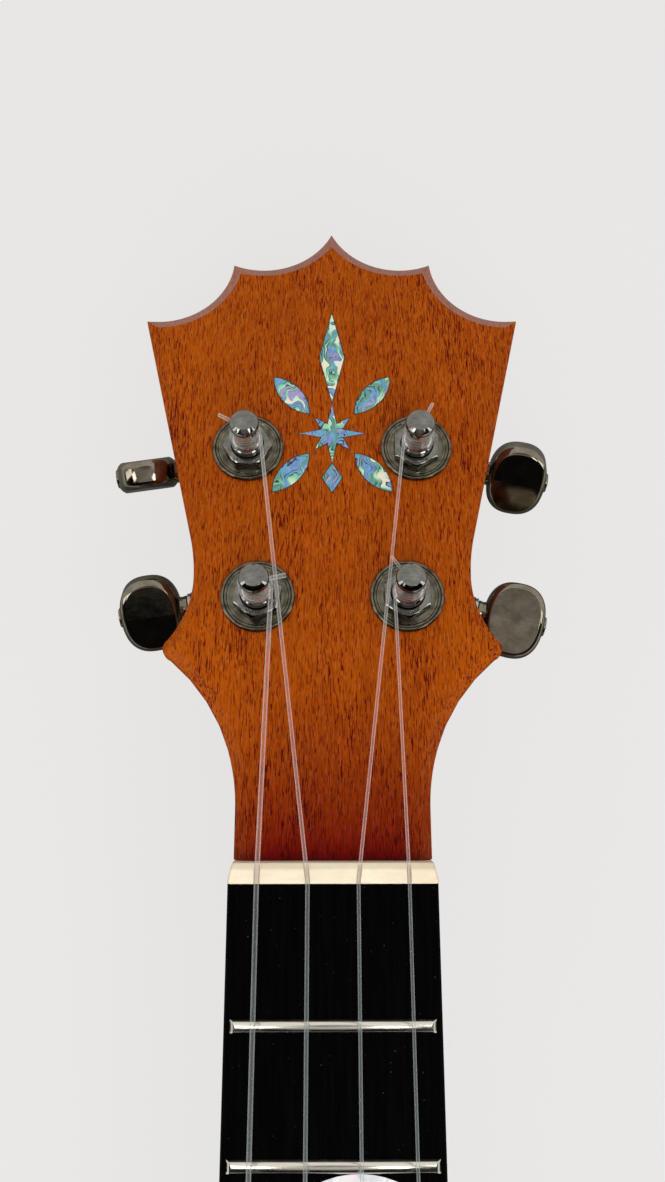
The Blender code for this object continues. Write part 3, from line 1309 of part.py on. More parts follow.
def make_housing(name, parent, side, metal):
    top = -HEAD_THICKNESS - SEAT_GAP
    well = WHEEL_TIP_RADIUS + SEAT_GAP
    channel = WORM_CREST_RADIUS + SEAT_GAP
    bottom = -SHAFT_DEPTH - channel - HOUSING_FLOOR
    reach_worm = GEAR_CENTRES + channel + HOUSING_WALL
    reach_wheel = well + HOUSING_WALL
    span_y = (-reach_wheel, reach_worm) if side > 0 else (-reach_worm, reach_wheel)
    half = max(HOUSING_HALF_LENGTH, worm_half_length() + SHAFT_TAIL_LENGTH + HOUSING_WALL)
    span_x = (-half, half)
    outer = rounded_rectangle(span_x, span_y, HOUSING_CORNER)
    inner = rounded_rectangle(
        (span_x[0] + HOUSING_BEVEL, span_x[1] - HOUSING_BEVEL),
        (span_y[0] + HOUSING_BEVEL, span_y[1] - HOUSING_BEVEL),
        HOUSING_CORNER - HOUSING_BEVEL / 2,
    )
    rings = [
        [Vector((x, y, bottom)) for x, y in inner],
        [Vector((x, y, bottom + HOUSING_BEVEL)) for x, y in outer],
        [Vector((x, y, top)) for x, y in outer],
    ]
    housing = add_solid(name, ring_solid(rings), metal, parent=parent, smooth=35)
    along_shaft = (
        Matrix.Translation((0, side * GEAR_CENTRES, -SHAFT_DEPTH)) @ Matrix.Rotation(math.pi / 2, 4, "Y")
    )
    collar = turned([(COLLAR_ROOT_RADIUS, half - HOUSING_WALL / 2), (COLLAR_RADIUS, COLLAR_REACH)])
    boolean(housing, "UNION", add_solid("collar_form_" + name, collar, metal, parent, along_shaft))
    ear_x = (-half - EAR_LENGTH, -half + HOUSING_WALL / 2)
    ear = rounded_rectangle(ear_x, (-EAR_WIDTH / 2, EAR_WIDTH / 2), EAR_WIDTH / 2.2)
    ear = extruded(ear, top - EAR_THICKNESS, top - GLUE_GAP)
    boolean(housing, "UNION", add_solid("ear_form_" + name, ear, metal, parent))
    screw_ends = (top - 2 * EAR_THICKNESS, top + EAR_THICKNESS)
    ear_hole = turned([(EAR_HOLE_RADIUS, z) for z in screw_ends], 10)
    ear_place = Matrix.Translation((-half - EAR_LENGTH * 0.55, 0, 0))
    ear_cutter = add_solid("ear_hole_cutter_" + name, ear_hole, metal, parent, ear_place)
    boolean(housing, "DIFFERENCE", ear_cutter)
    wheel_low = -SHAFT_DEPTH - WHEEL_THICKNESS / 2
    pivot = POST_PIVOT_RADIUS + RUN_CLEARANCE
    wheel_well = turned(
        [
            (pivot, wheel_low - POST_PIVOT_LENGTH - SEAT_GAP),
            (pivot, wheel_low - SEAT_GAP),
            (well, wheel_low - SEAT_GAP),
            (well, top + HOUSING_WALL),
        ]
    )
    boolean(housing, "DIFFERENCE", add_solid("wheel_well_cutter_" + name, wheel_well, metal, parent))
    channel_half = worm_half_length() + RUN_CLEARANCE
    angles = np.linspace(-math.pi / 2, math.pi / 2, 9)
    arc = [(channel * math.sin(a), -channel * math.cos(a)) for a in angles]
    profile = arc + [(channel, SHAFT_DEPTH), (-channel, SHAFT_DEPTH)]
    left = [Vector((-channel_half, y, z)) for y, z in profile]
    right = [Vector((channel_half, y, z)) for y, z in profile]
    channel_place = Matrix.Translation((0, side * GEAR_CENTRES, -SHAFT_DEPTH))
    worm_channel = ring_solid([left, right])
    channel_cutter = add_solid("worm_channel_cutter_" + name, worm_channel, metal, parent, channel_place)
    boolean(housing, "DIFFERENCE", channel_cutter)
    shaft_bore = turned(
        [
            (SHAFT_TAIL_RADIUS + RUN_CLEARANCE, -channel_half - SHAFT_TAIL_LENGTH - SEAT_GAP),
            (SHAFT_TAIL_RADIUS + RUN_CLEARANCE, 0),
            (SHAFT_RADIUS + RUN_CLEARANCE, 0),
            (SHAFT_RADIUS + RUN_CLEARANCE, COLLAR_REACH + HOUSING_WALL),
        ]
    )
    bore_cutter = add_solid("shaft_bore_cutter_" + name, shaft_bore, metal, parent, along_shaft)
    boolean(housing, "DIFFERENCE", bore_cutter)


def make_tuner(name, head, finishes):
    side, (x, t), lean, button_turn, hex_turn, tail = TUNERS[name]
    heading = -math.radians(lean) if side > 0 else math.pi + math.radians(lean)
    matrix = Matrix.Translation((side * x, t, 0)) @ Matrix.Rotation(heading, 4, "Z")
    post_axis = add_empty("post_axis_" + name, head, matrix)
    shaft_axis = add_empty(
        "shaft_axis_" + name, post_axis, Matrix.Translation((0, side * GEAR_CENTRES, -SHAFT_DEPTH))
    )
    make_housing("housing_" + name, post_axis, side, finishes["dark"])
    make_post("post_" + name, post_axis, math.radians(tail) - heading, finishes["steel"], finishes["dark"])
    make_bushing("bushing_" + name, post_axis, hex_turn - math.degrees(heading), finishes["dark"])
    make_worm_shaft("worm_shaft_" + name, shaft_axis, math.pi if side < 0 else 0, finishes["steel"])
    make_button("button_" + name, shaft_axis, button_turn, finishes["dark"])


def main():
    clear_scene()
    mahogany = make_material("mahogany", (0.36, 0.09, 0.015), 0.35)
    spruce = make_material("spruce", (0.72, 0.53, 0.3), 0.6)
    ebony = make_material("ebony", (0.012, 0.011, 0.011), 0.25)
    rosewood = make_material("rosewood", (0.06, 0.028, 0.018), 0.4)
    bone = make_material("bone", (0.88, 0.83, 0.68), 0.35)
    fret_metal = make_material("nickel_silver", (0.75, 0.72, 0.64), 0.25, 1.0)
    nylon = make_material("clear_nylon", (0.78, 0.72, 0.68), 0.2)
    finishes = {
        "dark": make_material("smoked_nickel", (0.16, 0.155, 0.14), 0.15, 1.0),
        "steel": make_material("brushed_steel", (0.62, 0.62, 0.6), 0.28, 1.0),
    }
    make_body(mahogany, spruce)
    make_bridge(rosewood, bone, spruce)
    make_neck(mahogany)
    make_headplate(mahogany)
    make_fingerboard(ebony, fret_metal)
    make_nut(bone)
    head = add_empty("head_frame", None, HEAD_FRAME)
    for name in TUNERS:
        make_tuner(name, head, finishes)
    for name in STRINGS:
        make_string(name, nylon)


main()
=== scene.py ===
import math

import bmesh
import bpy
import numpy as np
from mathutils import Matrix, Vector


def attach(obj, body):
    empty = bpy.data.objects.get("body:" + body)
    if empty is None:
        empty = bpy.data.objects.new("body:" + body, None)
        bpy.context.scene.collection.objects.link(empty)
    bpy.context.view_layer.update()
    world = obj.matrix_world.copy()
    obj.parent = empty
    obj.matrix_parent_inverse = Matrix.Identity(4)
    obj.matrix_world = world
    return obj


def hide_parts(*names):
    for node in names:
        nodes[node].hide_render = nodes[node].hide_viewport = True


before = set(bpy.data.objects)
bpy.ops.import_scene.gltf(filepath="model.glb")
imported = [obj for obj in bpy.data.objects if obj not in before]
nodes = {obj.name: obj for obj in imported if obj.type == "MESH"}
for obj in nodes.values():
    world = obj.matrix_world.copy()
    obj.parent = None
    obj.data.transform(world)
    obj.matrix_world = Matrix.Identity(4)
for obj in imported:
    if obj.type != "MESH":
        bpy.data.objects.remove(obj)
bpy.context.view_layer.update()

print("frame:", len(nodes), "nodes")

# Places that every piece shares, in metres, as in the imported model
places = {
    "nutY": 0.2024513, "boardTop": 0.0745, "bodyDepth": 0.07, "headTilt": math.radians(10.2),
    "headDrop": 0.002, "nutThickness": 0.0036, "scaleLength": 0.432, "bodyFret": 14, "glueGap": 0.00015,
}
headFrame = (
    Matrix.Translation((0, places["nutY"] + places["nutThickness"], places["boardTop"] - places["headDrop"]))
    @ Matrix.Rotation(-places["headTilt"], 4, "X")
)
# Side and place of each post, and in degrees the shaft's lean and the turn of button, hexagon and string end
tuners = {
    "upper_bass": {"side": -1, "post": (0.0172, 0.0819), "lean": 8.5, "button": 66, "hex": 0, "tail": 151},
    "lower_bass": {"side": -1, "post": (0.0146, 0.05), "lean": 9.0, "button": -37, "hex": 18, "tail": 12},
    "upper_treble": {"side": 1, "post": (0.0172, 0.0819), "lean": 10.5, "button": 50, "hex": 29, "tail": 63},
    "lower_treble": {"side": 1, "post": (0.0146, 0.05), "lean": 13.0, "button": 20, "hex": 33, "tail": 125},
}
strings = {
    "string_g": {"across": -1.5, "diameter": 0.00091, "tuner": "lower_bass"},
    "string_c": {"across": -0.5, "diameter": 0.00076, "tuner": "upper_bass"},
    "string_e": {"across": 0.5, "diameter": 0.00066, "tuner": "upper_treble"},
    "string_a": {"across": 1.5, "diameter": 0.00061, "tuner": "lower_treble"},
}


def fromNut(distance):
    return places["nutY"] - distance


def fretDistance(number):
    return places["scaleLength"] * (1 - 2 ** (-number / 12))


def postSpot(tuner):
    return Vector((tuner["side"] * tuner["post"][0], tuner["post"][1], 0))


def addObject(name, data, matrix=None):
    thing = bpy.data.objects.new(name, data)
    bpy.context.scene.collection.objects.link(thing)
    if matrix is not None:
        thing.matrix_world = matrix
    return thing


# Camera

camera = {
    "lens": 31.61, "clip": (0.01, 30), "place": (-0.0006661, 0.2273488, 0.2645789),
    "right": (0.99999, -0.00149, 0.00322), "up": (0.00101, 0.98966, 0.14342),
    "view": (0.00340, 0.14342, -0.98966),
}


def makeCamera():
    data = bpy.data.cameras.new("camera")
    data.lens = camera["lens"]
    data.clip_start, data.clip_end = camera["clip"]
    right, up, back = Vector(camera["right"]), Vector(camera["up"]), -Vector(camera["view"])
    turn = Matrix((right, up, back)).transposed().to_4x4()
    bpy.context.scene.camera = addObject("camera", data, Matrix.Translation(camera["place"]) @ turn)


makeCamera()
print("camera set")


# Node helpers


def addNode(tree, kind, inputs=None, **settings):
    node = tree.nodes.new(kind)
    for key, value in settings.items():
        setattr(node, key, value)
    for key, value in (inputs or {}).items():
        if isinstance(value, bpy.types.NodeSocket):
            tree.links.new(value, node.inputs[key])
        else:
            node.inputs[key].default_value = value
    return node


def maths(tree, operation, a, b=0.0, clamp=False):
    return addNode(tree, "ShaderNodeMath", {0: a, 1: b}, operation=operation, use_clamp=clamp).outputs[0]


def times(tree, a, b):
    return maths(tree, "MULTIPLY", a, b)


def plus(tree, a, b):
    return maths(tree, "ADD", a, b)


def minus(tree, a, b):
    return maths(tree, "SUBTRACT", a, b)


def weighed(tree, a, shareA, b, shareB):
    return plus(tree, times(tree, a, shareA), times(tree, b, shareB))


# What of a value stands above a floor, times a gain, and never outside 0 to 1
def above(tree, value, floor, gain):
    return maths(tree, "MULTIPLY", minus(tree, value, floor), gain, clamp=True)


def vectorMaths(tree, operation, *values):
    return addNode(tree, "ShaderNodeVectorMath", dict(enumerate(values)), operation=operation).outputs


def scaled(tree, vector, factor):
    return addNode(tree, "ShaderNodeVectorMath", {0: vector, "Scale": factor}, operation="SCALE").outputs[0]


def apart(tree, vector):
    return addNode(tree, "ShaderNodeSeparateXYZ", {0: vector}).outputs


def joined(tree, x, y, z):
    return addNode(tree, "ShaderNodeCombineXYZ", {0: x, 1: y, 2: z}).outputs[0]


def mixColour(tree, factor, a, b, mode="MIX"):
    inputs = {0: factor, 6: a, 7: b}
    return addNode(tree, "ShaderNodeMix", inputs, data_type="RGBA", blend_type=mode).outputs[2]


def colourRamp(tree, factor, stops):
    node = addNode(tree, "ShaderNodeValToRGB", {0: factor})
    while len(node.color_ramp.elements) < len(stops):
        node.color_ramp.elements.new(0.5)
    for element, (position, colour) in zip(node.color_ramp.elements, stops):
        element.position = position
        element.color = (*colour, 1)
    return node.outputs[0]


def noise(tree, vector, scale, detail=3.0, roughness=0.5, distortion=0.0):
    inputs = {"Vector": vector, "Scale": scale, "Detail": detail}
    inputs.update({"Roughness": roughness, "Distortion": distortion})
    return addNode(tree, "ShaderNodeTexNoise", inputs).outputs[0]


def mapped(tree, vector, scale=(1, 1, 1), rotation=(0, 0, 0), location=(0, 0, 0)):
    inputs = {"Vector": vector, "Location": location, "Rotation": rotation, "Scale": scale}
    return addNode(tree, "ShaderNodeMapping", inputs).outputs[0]


# Noise with its own scale along each axis
def stretched(tree, vector, scale, detail=3.0, roughness=0.5, distortion=0.0, rotation=(0, 0, 0)):
    return noise(tree, mapped(tree, vector, scale, rotation), 1.0, detail, roughness, distortion)


def spread(tree, value, low, high, to=(0.0, 1.0)):
    inputs = {"Value": value, "From Min": low, "From Max": high, "To Min": to[0], "To Max": to[1]}
    return addNode(tree, "ShaderNodeMapRange", inputs).outputs[0]


def newGroup(name, inputs, outputs):
    group = bpy.data.node_groups.new(name, "ShaderNodeTree")
    for label, kind, value in inputs:
        socket = group.interface.new_socket(name=label, in_out="INPUT", socket_type="NodeSocket" + kind)
        if value is not None:
            socket.default_value = value
    for label, kind in outputs:
        group.interface.new_socket(name=label, in_out="OUTPUT", socket_type="NodeSocket" + kind)
    return group, group.nodes.new("NodeGroupInput").outputs, group.nodes.new("NodeGroupOutput").inputs


def useGroup(tree, group, inputs):
    return addNode(tree, "ShaderNodeGroup", inputs, node_tree=group).outputs


# Node groups that more than one material uses

grain = {
    "bands": ((60, 6, 60), 4.0, 0.55, 0.6),  # scale along each axis, detail, roughness, distortion
    "clouds": ((38, 20, 38), 3.0, 0.5),
    "fibres": ((1700, 75, 1700), 3.0, 0.6),
    "share": ((130, 40, 130), 2.0, 0.5),
    "flecks": (7400, 400, 3.5),  # columns and lengths per metre, and a shift that sets these strokes apart
    "pores": (6600, 360, 7.5),
    "glints": (9000, 520, 11.5),
}


# Short strokes along the grain, in columns that are each shifted by a different length
def strokes(group, base, columns, lengths, shift):
    cells = mapped(group, base, (columns, 0, columns), location=(shift, shift, shift))
    whole = vectorMaths(group, "FLOOR", cells)[0]
    luck = addNode(group, "ShaderNodeTexWhiteNoise", {"Vector": whole}).outputs["Color"]
    along = mapped(group, base, (columns * 0.15, lengths, columns * 0.15))
    return noise(group, vectorMaths(group, "ADD", along, scaled(group, luck, 90.0))[0], 1.0, 1.0)


# Open-pored wood: soft figure along Y, fine flecks, pale glints and short dark pores
def makeWoodGroup():
    inputs = [
        ("Vector", "Vector", None),
        ("Light", "Color", (0.5, 0.2, 0.05, 1)), ("Dark", "Color", (0.3, 0.08, 0.02, 1)),
        ("Pore", "Color", (0.08, 0.02, 0.01, 1)), ("Pale", "Color", (0.6, 0.3, 0.12, 1)),
        ("Figure Scale", "Float", 1.0), ("Pore Amount", "Float", 0.5),
    ]
    outputs = [("Color", "Color"), ("Height", "Float"), ("Gloss", "Float")]
    group, given, result = newGroup("wood grain", inputs, outputs)
    base = scaled(group, given["Vector"], given["Figure Scale"])
    softer = ("bands", "clouds", "fibres", "share")
    bands, clouds, fibres, share = [stretched(group, base, *grain[name]) for name in softer]
    flecks, pores, glints = [strokes(group, base, *grain[name]) for name in ("flecks", "pores", "glints")]
    figure = spread(group, weighed(group, bands, 0.45, clouds, 0.55), 0.38, 0.62)
    tone = weighed(group, figure, 0.5, spread(group, fibres, 0.32, 0.68), 0.5)
    colour = mixColour(group, tone, given["Dark"], given["Light"])
    glint = times(group, above(group, glints, 0.57, 9.0), 0.4)
    colour = mixColour(group, glint, colour, given["Pale"])
    fleck = above(group, flecks, 0.53, 11.0)
    colour = mixColour(group, times(group, fleck, 0.5), colour, given["Pore"])
    depth = above(group, pores, minus(group, 0.8, times(group, share, given["Pore Amount"])), 18.0)
    colour = mixColour(group, times(group, depth, 0.95), colour, given["Pore"])
    low = weighed(group, depth, -1.0, fleck, -0.3)
    group.links.new(colour, result["Color"])
    group.links.new(plus(group, low, times(group, fibres, 0.22)), result["Height"])
    group.links.new(weighed(group, fibres, 0.5, depth, 0.5), result["Gloss"])
    return group


# Handling marks: soft smudges with fine scratches, as one value round a middle
def makeSmudgeGroup():
    inputs = [("Vector", "Vector", None), ("Size", "Float", 1.0)]
    inputs += [("Low", "Float", 0.1), ("High", "Float", 0.2)]
    group, given, result = newGroup("handling marks", inputs, [("Value", "Float"), ("Scratches", "Float")])
    base = scaled(group, given["Vector"], given["Size"])
    cloud = noise(group, base, 240.0, 4.0, 0.6, 0.4)
    lines = stretched(group, base, (300, 3800, 1400), 2.0, rotation=(0.3, 0.5, 0.7))
    marks = weighed(group, cloud, 0.8, lines, 0.2)
    group.links.new(spread(group, marks, 0.35, 0.65, (given["Low"], given["High"])), result["Value"])
    group.links.new(spread(group, lines, 0.35, 0.75), result["Scratches"])
    return group


# Shell: wavy layers with thin dark lines between them, and a colour that drifts from layer to layer
def makeShellGroup():
    inputs = [("Vector", "Vector", None), ("Size", "Float", 1.0), ("Line Amount", "Float", 0.5)]
    outputs = [("Hue", "Float"), ("Line", "Float"), ("Sheen", "Float")]
    group, given, result = newGroup("shell layers", inputs, outputs)
    base = scaled(group, given["Vector"], given["Size"])
    across, along = apart(group, base)[:2]
    wide = times(group, minus(group, noise(group, base, 130.0, 2.0), 0.5), 13.0)
    fine = times(group, minus(group, noise(group, base, 520.0, 2.0), 0.5), 2.2)
    layer = plus(group, weighed(group, across, 900.0, along, 70.0), plus(group, wide, fine))
    step = maths(group, "FRACT", layer)
    edge = maths(group, "ABSOLUTE", minus(group, step, 0.5))
    thick = times(group, spread(group, noise(group, base, 300.0, 1.0), 0.35, 0.65), given["Line Amount"])
    line = above(group, edge, minus(group, 0.5, times(group, thick, 0.2)), 14.0)
    spot = joined(group, times(group, maths(group, "FLOOR", layer), 3.71), times(group, along, 170.0), 0.5)
    drift = spread(group, noise(group, spot, 1.0, 1.0), 0.3, 0.7)
    group.links.new(line, result["Line"])
    group.links.new(weighed(group, step, 0.16, drift, 0.84), result["Hue"])
    group.links.new(stretched(group, base, (1500, 500, 1500), 2.0), result["Sheen"])
    return group


woodGroup = makeWoodGroup()
smudgeGroup = makeSmudgeGroup()
shellGroup = makeShellGroup()


# Materials


def newMaterial(name, values):
    material = bpy.data.materials.new(name)
    material.use_nodes = True
    tree = material.node_tree
    shader = tree.nodes["Principled BSDF"]
    for key, value in values.items():
        shader.inputs[key].default_value = value
    return material, tree, shader, tree.nodes.new("ShaderNodeTexCoord").outputs["Object"]


def feed(tree, shader, colour, rough, height=None, strength=0.0, distance=0.0):
    tree.links.new(colour, shader.inputs["Base Color"])
    tree.links.new(rough, shader.inputs["Roughness"])
    if height is not None:
        node = addNode(tree, "ShaderNodeBump", {"Strength": strength, "Distance": distance, "Height": height})
        tree.links.new(node.outputs[0], shader.inputs["Normal"])


def smudged(tree, place, size, rough):
    return useGroup(tree, smudgeGroup, {"Vector": place, "Size": size, "Low": rough[0], "High": rough[1]})


woods = {
    "headMahogany": {
        "grain": {
            "Light": (0.375, 0.073, 0.0006, 1), "Dark": (0.24, 0.037, 0.0003, 1),
            "Pore": (0.09, 0.002, 0.0004, 1), "Pale": (0.48, 0.15, 0.03, 1),
            "Figure Scale": 1.0, "Pore Amount": 0.4,
        },
        "rough": (0.26, 0.36), "coat": 0.0, "shine": 0.05,
    },
    # painted highlight for the north-facing bevel of the head's top scallops
    "bevelHighlightMahogany": {
        "grain": {
            "Light": (0.32, 0.12, 0.075, 1), "Dark": (0.21, 0.07, 0.042, 1), "Pore": (0.12, 0.03, 0.015, 1),
            "Figure Scale": 1.0, "Pore Amount": 0.3,
        },
        "rough": (0.3, 0.4), "coat": 0.0, "shine": 0.5,
    },
    "neckMahogany": {
        "grain": {
            "Light": (0.36, 0.075, 0.007, 1), "Dark": (0.2, 0.032, 0.003, 1), "Pore": (0.06, 0.008, 0.002, 1),
            "Figure Scale": 0.95, "Pore Amount": 0.32,
        },
        "rough": (0.34, 0.46), "coat": 0.05, "shine": 0.3,
    },
    "bodyMahogany": {
        "grain": {
            "Light": (0.42, 0.1, 0.012, 1), "Dark": (0.24, 0.045, 0.005, 1), "Pore": (0.07, 0.01, 0.002, 1),
            "Figure Scale": 0.8, "Pore Amount": 0.26,
        },
        "rough": (0.3, 0.42), "coat": 0.1, "shine": 0.3,
    },
    "spruce": {
        "grain": {
            "Light": (0.72, 0.52, 0.3, 1), "Dark": (0.58, 0.38, 0.19, 1), "Pore": (0.45, 0.27, 0.12, 1),
            "Figure Scale": 2.0, "Pore Amount": 0.1,
        },
        "rough": (0.55, 0.7), "coat": 0.0, "shine": 0.3,
    },
    "rosewood": {
        "grain": {
            "Light": (0.075, 0.03, 0.017, 1), "Dark": (0.03, 0.012, 0.008, 1),
            "Pore": (0.01, 0.005, 0.004, 1), "Figure Scale": 1.2, "Pore Amount": 0.42,
        },
        "rough": (0.34, 0.5), "coat": 0.0, "shine": 0.3,
    },
}
nutRed = {
    "along": (0.036, 0.001), "power": 1.3, "across": (0.0205, 0.012), "edge": (0.45, 1.0),
    "tint": (0.4, 0.04, 0.8, 1),
}


# The head's colour turns redder and darker towards the nut, most in its middle
def reddened(tree, place, colour):
    across, along = apart(tree, place)[:2]
    near = maths(tree, "POWER", spread(tree, along, *nutRed["along"]), nutRed["power"])
    middle = spread(tree, maths(tree, "ABSOLUTE", across), *nutRed["across"], nutRed["edge"])
    deep = mixColour(tree, 1.0, colour, nutRed["tint"], "MULTIPLY")
    return mixColour(tree, times(tree, near, middle), colour, deep)


def makeWood(name, across=False):
    look = woods[name]
    values = {"Coat Weight": look["coat"], "Coat Roughness": 0.14, "Specular IOR Level": look["shine"]}
    material, tree, shader, place = newMaterial(name, values)
    way = mapped(tree, place, rotation=(0, 0, math.pi / 2 if across else 0))
    wood = useGroup(tree, woodGroup, {"Vector": way, "Pale": look["grain"]["Light"], **look["grain"]})
    colour = reddened(tree, place, wood["Color"]) if name == "headMahogany" else wood["Color"]
    rough = spread(tree, wood["Gloss"], 0.2, 0.9, look["rough"])
    feed(tree, shader, colour, rough, wood["Height"], 0.35, 0.00004)
    return material


metals = {  # cloud and turned are the scales of dull patches and of rings from the lathe, where there are any
    "smokedNickel": {
        "colour": (0.15, 0.15, 0.136, 1), "worn": (0.29, 0.285, 0.26, 1), "rough": (0.04, 0.12), "size": 1.6,
        "bump": 0.03, "cloud": 700.0,
    },
    "platedNickel": {
        "colour": (0.17, 0.145, 0.105, 1), "worn": (0.36, 0.32, 0.25, 1), "rough": (0.05, 0.15), "size": 2.2,
        "bump": 0.05, "cloud": 330.0,
    },
    "washerNickel": {
        "colour": (0.012, 0.01, 0.007, 1), "worn": (0.29, 0.265, 0.195, 1), "rough": (0.08, 0.17),
        "size": 2.0, "bump": 0.4, "turned": 3200.0,
    },
    "postNickel": {
        "colour": (0.62, 0.62, 0.62, 1), "worn": (0.95, 0.95, 0.93, 1), "rough": (0.22, 0.34), "size": 1.6,
        "bump": 0.5, "turned": 2600.0,
    },
    "fretNickel": {
        "colour": (0.8, 0.76, 0.66, 1), "worn": (0.86, 0.83, 0.75, 1), "rough": (0.14, 0.26), "size": 1.0,
        "bump": 0.05,
    },
    "gearSteel": {
        "colour": (0.5, 0.5, 0.49, 1), "worn": (0.6, 0.6, 0.58, 1), "rough": (0.22, 0.34), "size": 1.5,
        "bump": 0.1,
    },
}


def makeMetal(name):
    look = metals[name]
    material, tree, shader, place = newMaterial(name, {"Metallic": 1.0})
    marks = smudged(tree, place, look["size"], look["rough"])
    worn = marks["Scratches"]
    if look.get("turned"):
        x, y, z = apart(tree, place)
        radius = maths(tree, "SQRT", plus(tree, times(tree, x, x), times(tree, y, y)))
        ring = noise(tree, joined(tree, radius, 0.0, z), look["turned"], 2.0)
        patches = spread(tree, noise(tree, place, 700.0), 0.3, 0.6, (0.3, 1.0))
        worn = times(tree, spread(tree, ring, 0.35, 0.65), patches)
    shade = worn
    if look.get("cloud"):
        patches = spread(tree, noise(tree, place, look["cloud"], 3.0, 0.6), 0.35, 0.65)
        shade = weighed(tree, worn, 0.4, patches, 0.6)
    colour = mixColour(tree, shade, look["colour"], look["worn"])
    feed(tree, shader, colour, marks["Value"], worn, look["bump"], 0.00002)
    return material


ebony = {
    "colours": [(0.4, (0.0004, 0.0004, 0.0004)), (0.75, (0.0016, 0.0013, 0.0012))],
    "fibres": (1500, 70, 1500), "rough": (0.2, 0.34), "speckScale": 2600.0, "specks": (0.84, 12.0),
    "speckColour": (0.05, 0.05, 0.055, 1),
}


def makeEbony():
    material, tree, shader, place = newMaterial("ebony", {"Specular IOR Level": 0.02})
    fibres = stretched(tree, place, ebony["fibres"], 3.0, 0.6)
    specks = above(tree, noise(tree, place, ebony["speckScale"], 0.0), *ebony["specks"])
    colour = mixColour(tree, specks, colourRamp(tree, fibres, ebony["colours"]), ebony["speckColour"])
    feed(tree, shader, colour, smudged(tree, place, 1.0, ebony["rough"])["Value"], fibres, 0.12, 0.00003)
    return material


bone = {
    "colours": [(0.35, (0.72, 0.6, 0.44)), (0.55, (0.8, 0.71, 0.55)), (0.75, (0.85, 0.79, 0.66))],
    "cloud": (90, 240, 240), "fine": (500, 1400, 1400), "fineColour": (0.62, 0.5, 0.34, 1),
    "rough": (0.3, 0.42),
}


def makeBone():
    values = {"Subsurface Weight": 0.12, "Subsurface Scale": 0.001, "Coat Weight": 0.1}
    material, tree, shader, place = newMaterial("bone", values)
    cloud = stretched(tree, place, bone["cloud"], 4.0, 0.6)
    fine = stretched(tree, place, bone["fine"], 2.0)
    colour = colourRamp(tree, cloud, bone["colours"])
    colour = mixColour(tree, times(tree, fine, 0.25), colour, bone["fineColour"])
    feed(tree, shader, colour, smudged(tree, place, 0.7, bone["rough"])["Value"], fine, 0.15, 0.00004)
    return material


nylon = {
    "clearNylon": {"alpha": (0.07, 0.95), "glow": (0.88, 0.6, 0.54, 1)},  # painted light: over the head the clear string takes the wood's light from below as its colour
    "woundNylon": {"alpha": (0.02, 0.3), "glow": (0.5, 0.5, 0.5, 1)},
    "colours": [(0.3, (0.36, 0.39, 0.4)), (0.7, (0.46, 0.49, 0.5))], "grain": (1800, 160, 1800),
    "glowReach": 0.006, "washerShift": 0.002, "washerReach": (0.0092, 0.0078),
    "washerGrey": (0.66, 0.66, 0.64, 1),
}


def makeNylon(name):
    look = nylon[name]
    values = {"IOR": 1.53, "Coat Weight": 0.1, "Coat Roughness": 0.1}
    material, tree, shader, place = newMaterial(name, values)
    cloud = stretched(tree, place, nylon["grain"], 2.0)
    overHead = spread(tree, apart(tree, place)[1], places["nutY"], places["nutY"] + nylon["glowReach"])
    # Painted light: over the head the string is painted in the glow colour, for the light from what lies
    # below
    colour = mixColour(tree, overHead, colourRamp(tree, cloud, nylon["colours"]), look["glow"])
    flat = vectorMaths(tree, "MULTIPLY", place, (1, 1, 0))[0]
    # Painted light: near the washers the string is painted light grey
    overWasher = 0.0
    for tuner in tuners.values():
        spot = headFrame @ (postSpot(tuner) - Vector((0, nylon["washerShift"], 0)))
        spot.z = 0
        away = vectorMaths(tree, "DISTANCE", flat, spot)["Value"]
        overWasher = maths(tree, "MAXIMUM", overWasher, spread(tree, away, *nylon["washerReach"]))
    colour = mixColour(tree, overWasher, colour, nylon["washerGrey"])
    feed(tree, shader, colour, spread(tree, cloud, 0.3, 0.7, (0.1, 0.2)))
    facing = addNode(tree, "ShaderNodeLayerWeight", {"Blend": 0.5}).outputs["Facing"]
    alpha = spread(tree, maths(tree, "POWER", facing, 1.25), 0.0, 1.0, look["alpha"])
    tree.links.new(alpha, shader.inputs["Alpha"])
    return material


shells = {
    "abalone": {
        "coat": 0.5, "coatRough": 0.08, "size": 1.0, "rough": (0.18, 0.34), "bump": 0.2, "veil": 0.22,
        "veilColour": (0.6, 0.72, 0.66, 1), "lines": 1.0, "lineColour": (0.004, 0.008, 0.012, 1),
        "colours": [
            (0.08, (0.24, 0.2, 0.42)), (0.2, (0.05, 0.11, 0.36)), (0.32, (0.06, 0.26, 0.5)),
            (0.44, (0.01, 0.2, 0.24)), (0.54, (0.02, 0.18, 0.08)), (0.66, (0.12, 0.46, 0.3)),
            (0.78, (0.5, 0.66, 0.42)), (0.9, (0.7, 0.62, 0.5)),
        ],
    },
    "pearl": {
        "coat": 0.4, "coatRough": 0.1, "size": 0.6, "rough": (0.16, 0.3), "bump": 0.15, "lines": 0.0,
        "colours": [
            (0.2, (0.55, 0.56, 0.6)), (0.45, (0.76, 0.75, 0.73)), (0.65, (0.6, 0.66, 0.6)),
            (0.9, (0.74, 0.64, 0.68)),
        ],
    },
}


def makeShell(name):
    look = shells[name]
    values = {"Coat Weight": look["coat"], "Coat Roughness": look["coatRough"]}
    material, tree, shader, place = newMaterial(name, values)
    shell = useGroup(tree, shellGroup, {"Vector": place, "Size": look["size"], "Line Amount": look["lines"]})
    sheen = shell["Sheen"]
    colour = colourRamp(tree, shell["Hue"], look["colours"])
    if look["lines"]:
        colour = mixColour(tree, times(tree, sheen, look["veil"]), colour, look["veilColour"])
        colour = mixColour(tree, shell["Line"], colour, look["lineColour"])
    feed(tree, shader, colour, spread(tree, sheen, 0.2, 0.8, look["rough"]), sheen, look["bump"], 0.00003)
    return material


